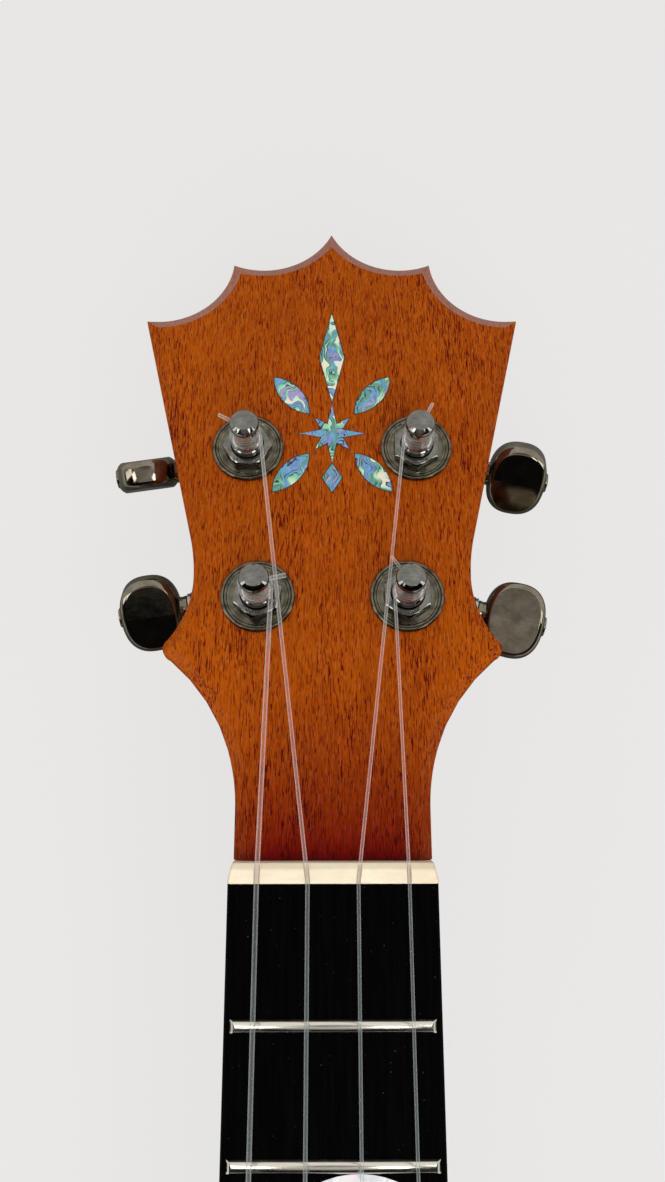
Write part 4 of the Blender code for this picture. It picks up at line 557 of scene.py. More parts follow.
def makeGlueLine():
    material, tree, shader, place = newMaterial("inlayGlue", {})
    grit = noise(tree, place, 3000.0, 2.0)
    colour = colourRamp(tree, grit, [(0.3, (0.006, 0.004, 0.004)), (0.8, (0.03, 0.014, 0.008))])
    feed(tree, shader, colour, spread(tree, grit, 0.3, 0.7, (0.4, 0.6)))
    return material


finishes = {name: makeWood(name) for name in woods}
finishes.update({name + "Across": makeWood(name, across=True) for name in ("rosewood", "spruce")})
finishes.update({name: makeMetal(name) for name in metals})
finishes.update({name: makeShell(name) for name in shells})
finishes.update({name: makeNylon(name) for name in ("clearNylon", "woundNylon")})
finishes.update({"ebony": makeEbony(), "bone": makeBone(), "inlayGlue": makeGlueLine()})
print("materials:", len(finishes))


# Mesh helpers


def turns(count, way=1):
    return [way * 2 * math.pi * i / count for i in range(count)]


def polar(radius, angle, height):
    return Vector((radius * math.cos(angle), radius * math.sin(angle), height))


def circle(radius, height, count):
    return [polar(radius, angle, height) for angle in turns(count)]


def circleOutline(x, y, radius, count, way=1):
    return [(x + radius * math.cos(angle), y + radius * math.sin(angle)) for angle in turns(count, way)]


def mirrored(half):
    return half + [(-x, y) for x, y in reversed(half) if x > 1e-6]


def bulged(value, power):
    return math.copysign(abs(value) ** power, value)


def joinRings(shape, first, second):
    count = len(first)
    for i in range(count):
        j = (i + 1) % count
        shape.faces.new((first[i], first[j], second[j], second[i]))


def ringWalls(shape, rings):
    loops = [[shape.verts.new(point) for point in ring] for ring in rings]
    for lower, upper in zip(loops, loops[1:]):
        joinRings(shape, lower, upper)
    return loops


def ringSolid(rings, closed=False):
    shape = bmesh.new()
    loops = ringWalls(shape, rings)
    if closed:
        joinRings(shape, loops[-1], loops[0])
    else:
        shape.faces.new(loops[0])
        shape.faces.new(loops[-1])
    return shape


def turned(profile, count=48, closed=False):
    return ringSolid([circle(radius, height, count) for radius, height in profile], closed)


def turnedAlongX(profile, count):
    return ringSolid([[point.zxy for point in circle(radius, place, count)] for radius, place in profile])


# A polyline whose corners (x, y, radius) are rounded with that radius
def filleted(points, steps=4):
    result = []
    for i, (x, y, radius) in enumerate(points):
        if not radius:
            result.append((x, y))
            continue
        here = Vector((x, y))
        before = (Vector(points[i - 1][:2]) - here).normalized()
        after = (Vector(points[(i + 1) % len(points)][:2]) - here).normalized()
        half = before.angle(after) / 2
        centre = here + (before + after).normalized() * radius / math.sin(half)
        start = here + before * radius / math.tan(half) - centre
        end = here + after * radius / math.tan(half) - centre
        angle = start.angle_signed(end)
        for k in range(steps + 1):
            result.append(tuple(centre + Matrix.Rotation(-angle * k / steps, 2) @ start))
    return result


def arcPoints(start, end, radius, steps):
    start, end = Vector(start), Vector(end)
    chord = end - start
    reach = math.sqrt(max(radius * radius - chord.length_squared / 4, 0))
    left = Vector((-chord.y, chord.x)).normalized()
    centre = (start + end) / 2 + left * math.copysign(reach, radius)
    arm = start - centre
    angle = arm.angle_signed(end - centre)
    return [tuple(centre + Matrix.Rotation(-angle * i / steps, 2) @ arm) for i in range(1, steps + 1)]


def meshFrom(name, shape):
    mesh = bpy.data.meshes.new(name)
    shape.to_mesh(mesh)
    shape.free()
    return mesh


def mergeShape(target, other):
    mesh = meshFrom("part", other)
    target.from_mesh(mesh)
    bpy.data.meshes.remove(mesh)


def evaluatedMesh(thing):
    bpy.context.view_layer.update()
    return bpy.data.meshes.new_from_object(thing.evaluated_get(bpy.context.evaluated_depsgraph_get()))


# Makes the piece, gives it its finish, seats it on its body and hides the nodes it stands for. The second
# finish is for the faces whose middle lies in a range of heights.
def addPiece(name, shape, finish, body="instrument", matrix=None, smooth=35, stands=(), second=None):
    bmesh.ops.remove_doubles(shape, verts=shape.verts, dist=1e-7)
    bmesh.ops.recalc_face_normals(shape, faces=shape.faces)
    mesh = meshFrom(name, shape)
    mesh.shade_smooth()
    mesh.set_sharp_from_angle(angle=math.radians(smooth))
    mesh.materials.append(finishes[finish])
    if second:
        otherFinish, low, high = second
        mesh.materials.append(finishes[otherFinish])
        for face in mesh.polygons:
            face.material_index = int(low < face.center.z < high)
    piece = addObject(name, mesh, matrix)
    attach(piece, body)
    if stands:
        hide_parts(*stands)
    return piece


def cutOut(piece, shape, matrix=None):
    bmesh.ops.recalc_face_normals(shape, faces=shape.faces)
    cutter = addObject("cutter", meshFrom("cutter", shape), matrix)
    modifier = piece.modifiers.new("cut", "BOOLEAN")
    modifier.operation = "DIFFERENCE"
    modifier.solver = "EXACT"
    modifier.object = cutter
    mesh = evaluatedMesh(piece)
    piece.modifiers.remove(modifier)
    old = piece.data
    mesh.name = old.name
    piece.data = mesh
    bpy.data.meshes.remove(old)
    bpy.data.objects.remove(cutter, do_unlink=True)


# Two crossed slots in the head of a screw that lies along an axis
def cutCross(screw, slot, levels, matrix, axis, first=0.0):
    half, wide = slot
    corners = ((-half, -wide), (half, -wide), (half, wide), (-half, wide))
    rings = [[Vector((x, y, z)) for x, y in corners] for z in levels]
    if axis == "X":
        rings = [[point.zxy for point in ring] for ring in rings]
    for turn in (first, first + math.pi / 2):
        cutOut(screw, ringSolid(rings), matrix @ Matrix.Rotation(turn, 4, axis))


def addLine(curve, points):
    spline = curve.splines.new("POLY")
    spline.points.add(len(points) - 1)
    for spot, point in zip(spline.points, points):
        spot.co = (*point, 1)
    return spline


# Finishes and soft shading on the carried-over nodes


def makeShadingGroup():
    group = bpy.data.node_groups.new("soft shading", "GeometryNodeTree")
    group.interface.new_socket(name="Geometry", in_out="INPUT", socket_type="NodeSocketGeometry")
    group.interface.new_socket(name="Angle", in_out="INPUT", socket_type="NodeSocketFloat")
    group.interface.new_socket(name="Geometry", in_out="OUTPUT", socket_type="NodeSocketGeometry")
    given = group.nodes.new("NodeGroupInput").outputs
    result = group.nodes.new("NodeGroupOutput").inputs
    merged = addNode(group, "GeometryNodeMergeByDistance", {"Geometry": given[0], "Distance": 1e-7})
    smooth = {"Geometry": merged.outputs[0], "Shade Smooth": True}
    faces = addNode(group, "GeometryNodeSetShadeSmooth", smooth, domain="FACE").outputs[0]
    angle = group.nodes.new("GeometryNodeInputMeshEdgeAngle").outputs[0]
    soft = addNode(group, "FunctionNodeCompare", {0: angle, 1: given[1]}, operation="LESS_THAN").outputs[0]
    smooth = {"Geometry": faces, "Shade Smooth": soft}
    edges = addNode(group, "GeometryNodeSetShadeSmooth", smooth, domain="EDGE").outputs[0]
    group.links.new(edges, result[0])
    return group


softShading = makeShadingGroup()
nodeFinishes = {  # by the start of a node's name; the first that fits counts
    "headplate": "headMahogany", "neck_block": "spruce", "tail_block": "spruce", "neck": "neckMahogany",
    "heel_cap": "neckMahogany", "soundboard": "bodyMahogany", "back_plate": "bodyMahogany",
    "bass_side": "bodyMahogany", "treble_side": "bodyMahogany", "top_bracing": "spruceAcross",
    "back_bracing": "spruceAcross", "bridge_plate": "spruceAcross", "bridge": "rosewoodAcross",
    "fingerboard": "ebony", "nut": "bone", "saddle": "bone", "fret_": "fretNickel", "string_": "clearNylon",
    "housing_": "smokedNickel", "bushing_": "smokedNickel", "button_": "smokedNickel",
    "post_": "postNickel", "worm_shaft_": "gearSteel",
}
softAngles = {"fret_": 50, "": 35}  # in degrees; edges flatter than this are shaded smooth


def firstFit(table, name):
    return next(value for start, value in table.items() if name.startswith(start))


def dressNodes():
    socket = [item.identifier for item in softShading.interface.items_tree if item.name == "Angle"][0]
    for name, node in nodes.items():
        node.data.materials.clear()
        node.data.materials.append(finishes[firstFit(nodeFinishes, name)])
        modifier = node.modifiers.new("soft shading", "NODES")
        modifier.node_group = softShading
        modifier[socket] = math.radians(firstFit(softAngles, name))


dressNodes()
print("nodes dressed")


# Head veneer: the crown-like outline, with a bevel along its front edge

veneer = {
    "thickness": 0.0025, "footHalf": 0.018, "sweepStart": 0.0093, "sweepRadius": 0.037, "sweepSteps": 24,
    "hornBelow": 0.0378,
    "lowArcs": [  # end, radius (less than 0 where the outline is hollow), steps
        ((0.0321, 0.0415), 0.0022, 12), ((0.02745, 0.0545), -0.0205, 20), ((0.02838, 0.06285), -0.038, 10),
    ],
    "cornerBelow": (0.0395, 0.1116), "sideSteps": 16,
    "highArcs": [((0.0389, 0.11285), 0.0009, 5), ((0.0214, 0.1271), -0.016, 28), ((0, 0.13505), -0.0165, 28)],
    "bevelIn": 0.0021, "bevelDown": 0.00095, "bevelRound": 0.0002, "bevelHold": 0.00005, "holeRadius": 0.0047,
    "paleFrom": 0.1, "paleFacing": 0.05, "paleTop": -0.00002,
}


def headHalfOutline(start):
    v = veneer
    centre = (v["footHalf"] + v["sweepRadius"], v["sweepStart"])
    lowX = centre[0] - math.sqrt(v["sweepRadius"] ** 2 - (v["hornBelow"] - centre[1]) ** 2)
    half = [(v["footHalf"], start), (v["footHalf"], centre[1])]
    sweep = ((lowX, v["hornBelow"]), -v["sweepRadius"], v["sweepSteps"])
    for end, radius, steps in [sweep] + v["lowArcs"]:
        half += arcPoints(half[-1], end, radius, steps)
    side, corner = Vector(half[-1]), Vector(v["cornerBelow"])
    half += [tuple(side.lerp(corner, i / v["sideSteps"])) for i in range(1, v["sideSteps"] + 1)]
    for end, radius, steps in v["highArcs"]:
        half += arcPoints(half[-1], end, radius, steps)
    return half


# The outline from foot to foot, drawn in by a distance. Where the sides of a point or a small
# corner would cross, their points meet where the two sides do.
def drawnIn(outline, distance, nearShare=0.985, sharpBend=0.3, pieces=4):
    points = [Vector(p) for p in outline]
    count = len(points)
    ways = [(points[min(i + 1, count - 1)] - points[max(i - 1, 0)]).normalized() for i in range(count)]
    normals = [Vector((-way.y, way.x)) for way in ways]
    normals[0], normals[-1] = Vector((-1, 0)), Vector((1, 0))
    bends = [0.0] * count
    for i in range(1, count - 1):
        bends[i] = abs((points[i] - points[i - 1]).angle(points[i + 1] - points[i]))
    moved = [p + n * distance for p, n in zip(points, normals)]
    if distance < 1e-9:
        return moved
    line = np.array([tuple(p) for p in points])
    dense = np.concatenate([line[:-1] + (line[1:] - line[:-1]) * k / pieces for k in range(pieces)])
    gaps = np.sqrt(((np.array([tuple(p) for p in moved])[:, None] - dense[None]) ** 2).sum(2)).min(1)
    lost = [gap < distance * nearShare or bend > sharpBend for gap, bend in zip(gaps, bends)]
    lost[0] = lost[-1] = False
    i = 0
    while i < count:
        if not lost[i]:
            i += 1
            continue
        last = i
        while lost[last + 1]:
            last += 1
        a, b = i - 1, last + 1
        across = ways[a].x * ways[b].y - ways[a].y * ways[b].x
        gap = moved[b] - moved[a]
        share = (gap.x * ways[b].y - gap.y * ways[b].x) / across if abs(across) > 1e-3 else 0.5
        corner = moved[a] + ways[a] * share
        for k in range(i, last + 1):
            moved[k] = corner.copy()
        i = last + 1
    return moved


def makeVeneer():
    v = veneer
    bevelFoot = -v["bevelDown"] - v["bevelRound"]
    steep = v["bevelDown"] / v["bevelIn"]
    hold = v["bevelHold"]
    levels = [(0.0, -v["thickness"]), (0.0, bevelFoot)]
    levels.append((v["bevelRound"] * 0.25, -v["bevelDown"] - v["bevelRound"] * 0.2))
    for drawn in (v["bevelRound"], v["bevelRound"] + hold, v["bevelIn"] - 2 * hold, v["bevelIn"] - hold):
        levels.append((drawn, (drawn - v["bevelIn"]) * steep))
    levels += [(v["bevelIn"] + hold, 0.0), (v["bevelIn"] + 2 * hold, 0.0)]
    rings = []
    for drawn, z in levels:
        outline = mirrored(headHalfOutline(places["glueGap"] - z * math.tan(places["headTilt"])))
        rings.append([(p.x, p.y, z) for p in drawnIn(outline, drawn)])
    shape = bmesh.new()
    ringWalls(shape, rings)
    bmesh.ops.remove_doubles(shape, verts=shape.verts, dist=1e-6)
    for tuner in tuners.values():
        heights = (-v["thickness"], 0)
        ringWalls(shape, [[p + postSpot(tuner) for p in circle(v["holeRadius"], z, 32)] for z in heights])
    rims = [edge for edge in shape.edges if len(edge.link_faces) == 1]
    for level in (0.0, -v["thickness"]):
        edges = [edge for edge in rims if all(abs(vert.co.z - level) < 1e-6 for vert in edge.verts)]
        bmesh.ops.triangle_fill(shape, use_beauty=True, edges=edges)
    stands = ["headplate"]
    piece = addPiece("headVeneer", shape, "headMahogany", "instrument", headFrame, 20, stands)
    piece.data.materials.append(finishes["bevelHighlightMahogany"])
    for face in piece.data.polygons:  # painted highlight: the north-facing faces of the top scallops' bevel get a paler finish for the light they catch
        litBevel = bevelFoot < face.center.z < v["paleTop"] and face.normal.y > v["paleFacing"]
        face.material_index = int(litBevel and face.center.y > v["paleFrom"])


makeVeneer()
print("head veneer made")


# Tuners: the string posts with their worm wheels, the bushings and the buttons


def tunerFrame(name):
    tuner = tuners[name]
    lean = math.radians(tuner["lean"])
    heading = -lean if tuner["side"] > 0 else math.pi + lean
    return headFrame @ Matrix.Translation(postSpot(tuner)) @ Matrix.Rotation(heading, 4, "Z"), heading


gear = {
    "pitch": 0.001634, "teeth": 14, "wormPitchRadius": 0.0023, "rise": 0.00045, "fall": 0.0006, "share": 0.4,
    "slope": 0.364, "thickness": 0.003, "depth": 0.0178,
}
gear["wheelPitchRadius"] = gear["teeth"] * gear["pitch"] / (2 * math.pi)
gear["centres"] = gear["wheelPitchRadius"] + gear["wormPitchRadius"]

post = {
    "rise": 0.0124, "capRadius": 0.0029, "capHeight": 0.0015, "capFlat": 0.0019, "grooveRadius": 0.0021,
    "grooveHeight": 0.0002, "barrelRadius": 0.0024, "barrelHeight": 0.006, "flare": 0.0004, "radius": 0.0032,
    "shaftRadius": 0.0028, "shaftOver": 0.002, "pivotRadius": 0.0015, "pivotLength": 0.0014, "axis": 0.0001,
    "holeBelowCap": 0.0012, "headThickness": 0.0125, "collarBelow": 0.0003,
    "bore": [  # place, half width, half height: wide mouths, so that the post can turn round its string
        (-0.0034, 0.0015, 0.001), (-0.0003, 0.0006, 0.0006),
        (0.0003, 0.0006, 0.0006), (0.0034, 0.0015, 0.001),
    ],
}
post["barrelTop"] = post["rise"] - post["capHeight"] - post["grooveHeight"]
post["barrelBottom"] = post["barrelTop"] - post["barrelHeight"]
post["holeZ"] = post["barrelTop"] - post["holeBelowCap"]


def wheelRing(height):
    root = gear["wheelPitchRadius"] - gear["fall"]
    tip = gear["wheelPitchRadius"] + gear["rise"]
    half = gear["share"] * gear["pitch"] / 2
    tipHalf = (half - gear["rise"] * gear["slope"]) / tip
    rootHalf = (half + gear["fall"] * gear["slope"]) / root
    twist = height * gear["pitch"] / (2 * math.pi * gear["wormPitchRadius"]) / gear["wheelPitchRadius"]
    ring = []
    for tooth in range(gear["teeth"]):
        middle = math.pi / 2 + 2 * math.pi / gear["teeth"] * (tooth + 0.5) + twist
        for radius, offset in ((root, -rootHalf), (tip, -tipHalf), (tip, tipHalf), (root, rootHalf)):
            ring.append(polar(radius, middle + offset, height - gear["depth"]))
    return ring


def makePost(name):
    matrix, heading = tunerFrame(name)
    p = post
    wheelTop = gear["thickness"] / 2 - gear["depth"]
    foot = wheelTop - gear["thickness"] - p["pivotLength"]
    flare = p["barrelRadius"] + p["flare"]
    lip = flare - p["flare"] / 2
    collar = -p["headThickness"] - p["collarBelow"]
    capLow = p["rise"] - p["capHeight"]
    corners = [
        (p["axis"], foot, 0),
        (p["pivotRadius"], foot, 0.0002),
        (p["pivotRadius"], wheelTop - p["shaftOver"], 0),
        (p["shaftRadius"], wheelTop - p["shaftOver"], 0),
        (p["shaftRadius"], collar, 0),
        (p["radius"], collar, 0),
        (p["radius"], p["barrelBottom"] - p["flare"] * 1.5, 0.0002),
        (flare, p["barrelBottom"] - p["flare"], 0.0001),
        (flare, p["barrelBottom"], 0.0001),
        (p["barrelRadius"], p["barrelBottom"] + p["flare"], 0.0006),
        (p["barrelRadius"], p["barrelTop"] - p["flare"], 0.0006),
        (lip, p["barrelTop"] - 0.0001, 0.00008),
        (lip, p["barrelTop"], 0.00003),
        (p["grooveRadius"], p["barrelTop"], 0),
        (p["grooveRadius"], capLow, 0),
        (p["capRadius"], capLow, 0.00008),
        (p["capRadius"], p["rise"] - 0.001, 0.0001),
        (p["capRadius"] - 0.0002, p["rise"] - 0.0006, 0.0002),
        (p["capFlat"], p["rise"] - 0.00005, 0.0002),
        (p["axis"], p["rise"], 0),
    ]
    shape = turned(filleted(corners, 6), 64)
    mergeShape(shape, ringSolid([wheelRing(-gear["thickness"] / 2), wheelRing(gear["thickness"] / 2)]))
    body = "post_" + name
    barrel = ("postNickel", p["barrelBottom"] - p["flare"], p["barrelTop"] - 0.00001)
    label = "stringPost_" + name
    piece = addPiece(label, shape, "smokedNickel", body, matrix, 35, [body], barrel)
    bore = []
    for x, wide, high in p["bore"]:
        bore.append([Vector((x, wide * math.cos(a), high * math.sin(a))) for a in turns(28)])
    turn = Matrix.Rotation(math.radians(tuners[name]["tail"]) - heading, 4, "Z")
    cutOut(piece, ringSolid(bore), matrix @ (Matrix.Translation((0, 0, p["holeZ"])) @ turn))


bushing = {
    "sides": 96, "sleeveRadius": 0.0044, "sleeveShort": 0.001, "bore": 0.0033, "boreRound": 0.0001,
    "washerRadius": 0.00725, "washerThickness": 0.00095, "washerRounds": (0.00015, 0.0004),
    "dish": [(0.0061, -0.00002, 0.0001), (0.0059, -0.00014, 0.0001), (0.0055, -0.00014, 0)],
    "hexFlats": 0.009, "hexHeight": 0.0015, "hexCorner": 0.0001,
    "hexSteps": [(0.0, -0.00014), (0.0, -0.00014), (-0.00003, -0.00005), (-0.00012, 0.00007)],
    "crownRadius": 0.0043, "crownSlope": 0.6, "crownSteps": (0.00005, -0.00005, -0.0001),
}


def makeBushing(name):
    matrix, heading = tunerFrame(name)
    b = bushing
    washerTop = places["glueGap"] + b["washerThickness"]
    hexTop = washerTop + b["hexHeight"]
    foot = b["sleeveShort"] - post["headThickness"]
    rim = [(b["sleeveRadius"], foot, 0), (b["sleeveRadius"], places["glueGap"], 0)]
    for z, rounding in zip((places["glueGap"], washerTop), b["washerRounds"]):
        rim.append((b["washerRadius"], z, rounding))
    rim += [(radius, washerTop + z, rounding) for radius, z, rounding in b["dish"]]
    rings = [circle(radius, z, b["sides"]) for radius, z in filleted(rim)]
    half = b["hexFlats"] / 2
    widest = half / math.cos(math.pi / 6) - b["hexCorner"]
    angles = turns(b["sides"])
    flats = [min(half / math.cos(a % (math.pi / 3) - math.pi / 6), widest) for a in angles]
    crown = [hexTop - max(flat - b["crownRadius"], 0) * b["crownSlope"] for flat in flats]
    foots = [washerTop] * b["sides"]
    for (drawn, z), tops in zip(b["hexSteps"], (foots, crown, crown, crown)):
        rings.append([polar(flat + drawn, a, top + z) for a, flat, top in zip(angles, flats, tops)])
    for step in b["crownSteps"]:
        rings.append(circle(b["crownRadius"] + step, hexTop - max(step, 0) * b["crownSlope"], b["sides"]))
    rings.append(circle(b["bore"] + b["boreRound"], hexTop, b["sides"]))
    rings += [circle(b["bore"], z, b["sides"]) for z in (hexTop - b["boreRound"], foot)]
    shape = ringSolid(rings, closed=True)
    spin = matrix @ Matrix.Rotation(math.radians(tuners[name]["hex"]) - heading, 4, "Z")
    label, stands = "hexBushing_" + name, ["bushing_" + name]
    washer = ("washerNickel", -1, washerTop)
    addPiece(label, shape, "smokedNickel", "instrument", spin, 32, stands, washer)


button = {
    "start": 0.01515, "neckRadius": 0.0027, "neckWaist": 0.92, "neckLength": 0.0015, "neckInside": 0.0008,
    "length": 0.0127, "width": 0.016, "thickness": 0.0062, "crown": 0.0005, "ridge": 0.00018,
    "squareness": 2.5, "steps": 72,
    "rim": [  # how far in from the outline, how far below the face
        (0.0013, 0.0), (0.0012, 0.0), (0.0011, 0.00002), (0.000825, 0.00018), (0.000385, 0.00055),
        (0.000088, 0.001), (0.0, 0.0014),
    ],
    "screwRadius": 0.0021, "screwRise": 0.0007, "screwInside": 0.0012, "slot": (0.0011, 0.0002),
    "slotDepth": 0.0004,
}


def shaftFrame(name):
    matrix = tunerFrame(name)[0]
    return matrix @ Matrix.Translation((0, tuners[name]["side"] * gear["centres"], -gear["depth"]))


def buttonOutline(inset):
    b = button
    middle = b["start"] + b["neckLength"] + b["length"] / 2
    power = 2 / b["squareness"]
    points = []
    for a in turns(b["steps"]):
        x = middle + bulged(math.cos(a), power) * (b["length"] / 2 - inset)
        points.append((x, bulged(math.sin(a), power) * (b["width"] / 2 - inset)))
    return points


# Each face is a shallow roof whose thin ridge runs along the shaft, inside a bevelled rim
def makeButton(name):
    b = button
    half = b["thickness"] / 2

    def roof(y):
        return b["crown"] * (1 - 2 * abs(y) / b["width"]) - b["crown"] * 0.4

    rings = []
    for inset, sunk in b["rim"]:
        rings.append([(x, y, half + roof(y) - sunk) for x, y in buttonOutline(inset)])
    for inset, sunk in reversed(b["rim"]):
        rings.append([(x, y, sunk - half - roof(y)) for x, y in buttonOutline(inset)])
    shape = bmesh.new()
    loops = ringWalls(shape, rings)
    middle = b["steps"] // 2
    for loop in (loops[0], loops[-1]):
        shape.faces.new(loop[: middle + 1])
        shape.faces.new(loop[middle:] + loop[:1])
    for y in (-b["ridge"], b["ridge"]):
        flats = [face for face in shape.faces if len(face.verts) > 4]
        edges = list({edge for face in flats for edge in face.edges})
        verts = list({vert for face in flats for vert in face.verts})
        bmesh.ops.bisect_plane(shape, geom=flats + edges + verts, plane_co=(0, y, 0), plane_no=(0, 1, 0))
    neckEnd = b["start"] + b["neckLength"]
    neck = [
        (b["neckInside"], b["start"], 0),
        (b["neckRadius"], b["start"], 0.0002),
        (b["neckRadius"] * b["neckWaist"], b["start"] + b["neckLength"] * 0.6, 0.0003),
        (b["neckRadius"], neckEnd + b["neckInside"], 0),
    ]
    mergeShape(shape, turnedAlongX(filleted(neck), 36))
    body = "button_" + name
    spin = shaftFrame(name) @ Matrix.Rotation(math.radians(tuners[name]["button"]), 4, "X")
    addPiece("knob_" + name, shape, "platedNickel", body, spin, 28, [body])
    end = neckEnd + b["length"]
    head = [
        (b["screwRadius"], end - b["screwInside"], 0),
        (b["screwRadius"], end + b["screwRise"] * 0.55, 0.0003),
        (0.0001, end + b["screwRise"], 0),
    ]
    shape = turnedAlongX(filleted(head), 32)
    screw = addPiece("knobScrew_" + name, shape, "platedNickel", body, spin, 35)
    slotFoot = end + b["screwRise"] - b["slotDepth"]
    cutCross(screw, b["slot"], (slotFoot, slotFoot + 0.002), spin, "X")


for tuner in tuners:
    makePost(tuner)
    makeBushing(tuner)
    makeButton(tuner)
print("tuners made")


# Strings: from the knot on the bridge to the end that leaves the post

winding = {
    "startAbove": 0.0008, "clearance": 0.00003, "turns": 2, "leastTurns": 1.6, "points": 48,
    "lastClearance": 0.00046, "bend": 0.0006, "bendSteps": 8, "tail": 0.0036,
}
bridge = {
    "front": 0.0062, "width": 0.022, "tieWidth": 0.0075, "holeHeight": 0.0042, "height": 0.0076,
    "saddleDistance": 0.4335, "saddleThickness": 0.0026, "saddleLift": 0.0052, "spacing": 0.0142,
    "tieLift": 0.00012, "overSaddle": (50, 42, 34, 26, 18, 9, 0),
}
overNut = {"spacing": 0.009, "lift": 0.00125, "break": 0.0006}


def stringRoute(name):
    string = strings[name]
    across, half = string["across"], string["diameter"] / 2
    tuner = tuners[string["tuner"]]
    radius = post["barrelRadius"] + winding["clearance"] + half
    nutTop = places["boardTop"] + overNut["lift"] + half
    saddleTop = places["boardTop"] + bridge["saddleLift"] + half + winding["clearance"]
    nut = Vector((across * overNut["spacing"], places["nutY"] + overNut["break"], nutTop))
    saddle = Vector((across * bridge["spacing"], fromNut(bridge["saddleDistance"]), saddleTop))
    start = headFrame.inverted() @ nut
    centre = postSpot(tuner)
    offset = start.xy - centre.xy
    touch = math.atan2(offset.y, offset.x) - tuner["side"] * math.acos(radius / offset.length)
    height = post["barrelBottom"] + winding["startAbove"]
    tangent = headFrame @ (centre + polar(radius, touch, height))
    return {
        "nut": nut, "saddle": saddle, "post": centre, "touch": touch, "radius": radius, "height": height,
        "tangent": tangent, "way": -tuner["side"], "entry": math.radians(tuner["tail"]) + math.pi,
    }


def windingPoints(route, diameter):
    centre, radius, bend = route["post"], route["radius"], winding["bend"]
    entry, way = route["entry"], route["way"]
    sweep = ((entry - route["touch"]) * way) % (2 * math.pi) + 2 * math.pi * (winding["turns"] - 1)
    if sweep < 2 * math.pi * winding["leastTurns"]:
        sweep += 2 * math.pi
    sweep -= math.asin(bend / (radius - bend))
    lastRise = diameter + winding["lastClearance"]
    climb = post["holeZ"] - route["height"] - lastRise
    steps = round(sweep / (2 * math.pi) * winding["points"])
    points = []
    for i in range(1, steps + 1):
        turnedBy = sweep * i / steps
        slow = min(turnedBy / (sweep - math.pi), 1)
        fast = max(turnedBy - (sweep - math.pi), 0) / math.pi
        z = route["height"] + climb * slow + lastRise * fast * fast * (3 - 2 * fast)
        points.append(centre + polar(radius, route["touch"] + way * turnedBy, z))
    inward = Vector((-math.cos(entry), -math.sin(entry), 0))
    aside = Vector((math.sin(entry), -math.cos(entry), 0)) * way
    middle = centre + Vector((0, 0, post["holeZ"]))
    corner = middle - inward * (radius - bend) + aside * bend
    for i in range(1, winding["bendSteps"] + 1):
        a = math.pi / 2 * i / winding["bendSteps"]
        points.append(corner - inward * bend * math.cos(a) - aside * bend * math.sin(a))
    points.append(middle + inward * (post["barrelRadius"] + winding["tail"]))
    return points


# The tie on the bridge: through the block, over its top, round the string and under its own loop.
# Each point is across in diameters of the string, along from the bridge's back edge, and up from its foot.
def tiePoints(route, diameter):
    back = fromNut(bridge["saddleDistance"]) + bridge["front"] - bridge["width"]
    base = places["bodyDepth"] + places["glueGap"]
    top = bridge["height"] + diameter / 2 + bridge["tieLift"]
    d = diameter
    edge, hole = bridge["height"], bridge["holeHeight"]
    loop = [
        (2.9, 0.0012, top), (2.2, 0.0026, top + 0.1 * d), (0.9, 0.0046, top + 1.15 * d),
        (-0.6, 0.0060, top + 1.1 * d), (-1.6, 0.0070, top + 0.1 * d), (-1.5, 0.0080, edge - 0.0012),
        (-0.6, 0.0086, hole - 0.0001), (0.7, 0.0086, hole + 0.0001), (1.5, 0.0081, edge - 0.001),
        (1.4, 0.0070, top + 0.02 * d), (0.9, 0.0050, top), (0.1, 0.0025, top), (0.0, 0.0006, top),
        (0.0, -0.0005, edge - 0.0004), (0.0, -0.0008, hole + 0.0012), (0.0, -0.0005, hole + 0.0002),
        (0.0, 0.0004, hole), (0.0, 0.004, hole), (0.0, bridge["tieWidth"], hole),
    ]
    return [Vector((route["saddle"].x + a * d, back + b, base + c)) for a, b, c in loop]


def smoothLine(points, steps):
    result = []
    for i in range(len(points) - 1):
        p0, p1, p2, p3 = [points[min(max(i + k, 0), len(points) - 1)] for k in (-1, 0, 1, 2)]
        for k in range(steps):
            t = k / steps
            curved = (2 * p0 - 5 * p1 + 4 * p2 - p3) * t * t + (3 * p1 - p0 - 3 * p2 + p3) * t**3
            result.append((2 * p1 + (p2 - p0) * t + curved) / 2)
    return result + [points[-1]]


def makeString(name):
    diameter = strings[name]["diameter"]
    route = stringRoute(name)
    saddleCentre = places["boardTop"] + bridge["saddleLift"] - bridge["saddleThickness"] / 2
    reach = route["saddle"].z - saddleCentre
    points = smoothLine(tiePoints(route, diameter), 6)
    for degrees in bridge["overSaddle"]:
        turn = math.radians(degrees)
        along = fromNut(bridge["saddleDistance"]) - reach * math.sin(turn)
        points.append(Vector((route["saddle"].x, along, saddleCentre + reach * math.cos(turn))))
    points += [route["nut"], route["tangent"]]
    wound = [route["tangent"]] + [headFrame @ point for point in windingPoints(route, diameter)]
    curve = bpy.data.curves.new(name + "Line", "CURVE")
    curve.dimensions = "3D"
    curve.bevel_depth = diameter / 2
    curve.bevel_resolution = 4
    curve.use_fill_caps = True
    curve.materials.append(finishes["clearNylon"])
    curve.materials.append(finishes["woundNylon"])
    for finish, line in ((0, points), (1, wound[:-1]), (0, wound[-2:])):
        addLine(curve, line).material_index = finish
    piece = addObject(name + "Line", curve)
    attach(piece, "instrument")
    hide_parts(name)


for name in strings:
    makeString(name)
print("strings made")


# Nut: softly rounded, with a round-bottomed slot for each string

nut = {
    "rise": 0.0017, "flat": 0.0025, "backDrop": 0.0009, "frontRound": 0.00035, "topRound": 0.0006,
    "backRound": 0.0003, "endRound": 0.0007, "endSteps": 5, "frontHalf": 0.0188, "backHalf": 0.018,
    "slotRoom": 0.00008, "slotSteps": 10, "slotFlare": 1.5, "slotHeight": 0.003,
}


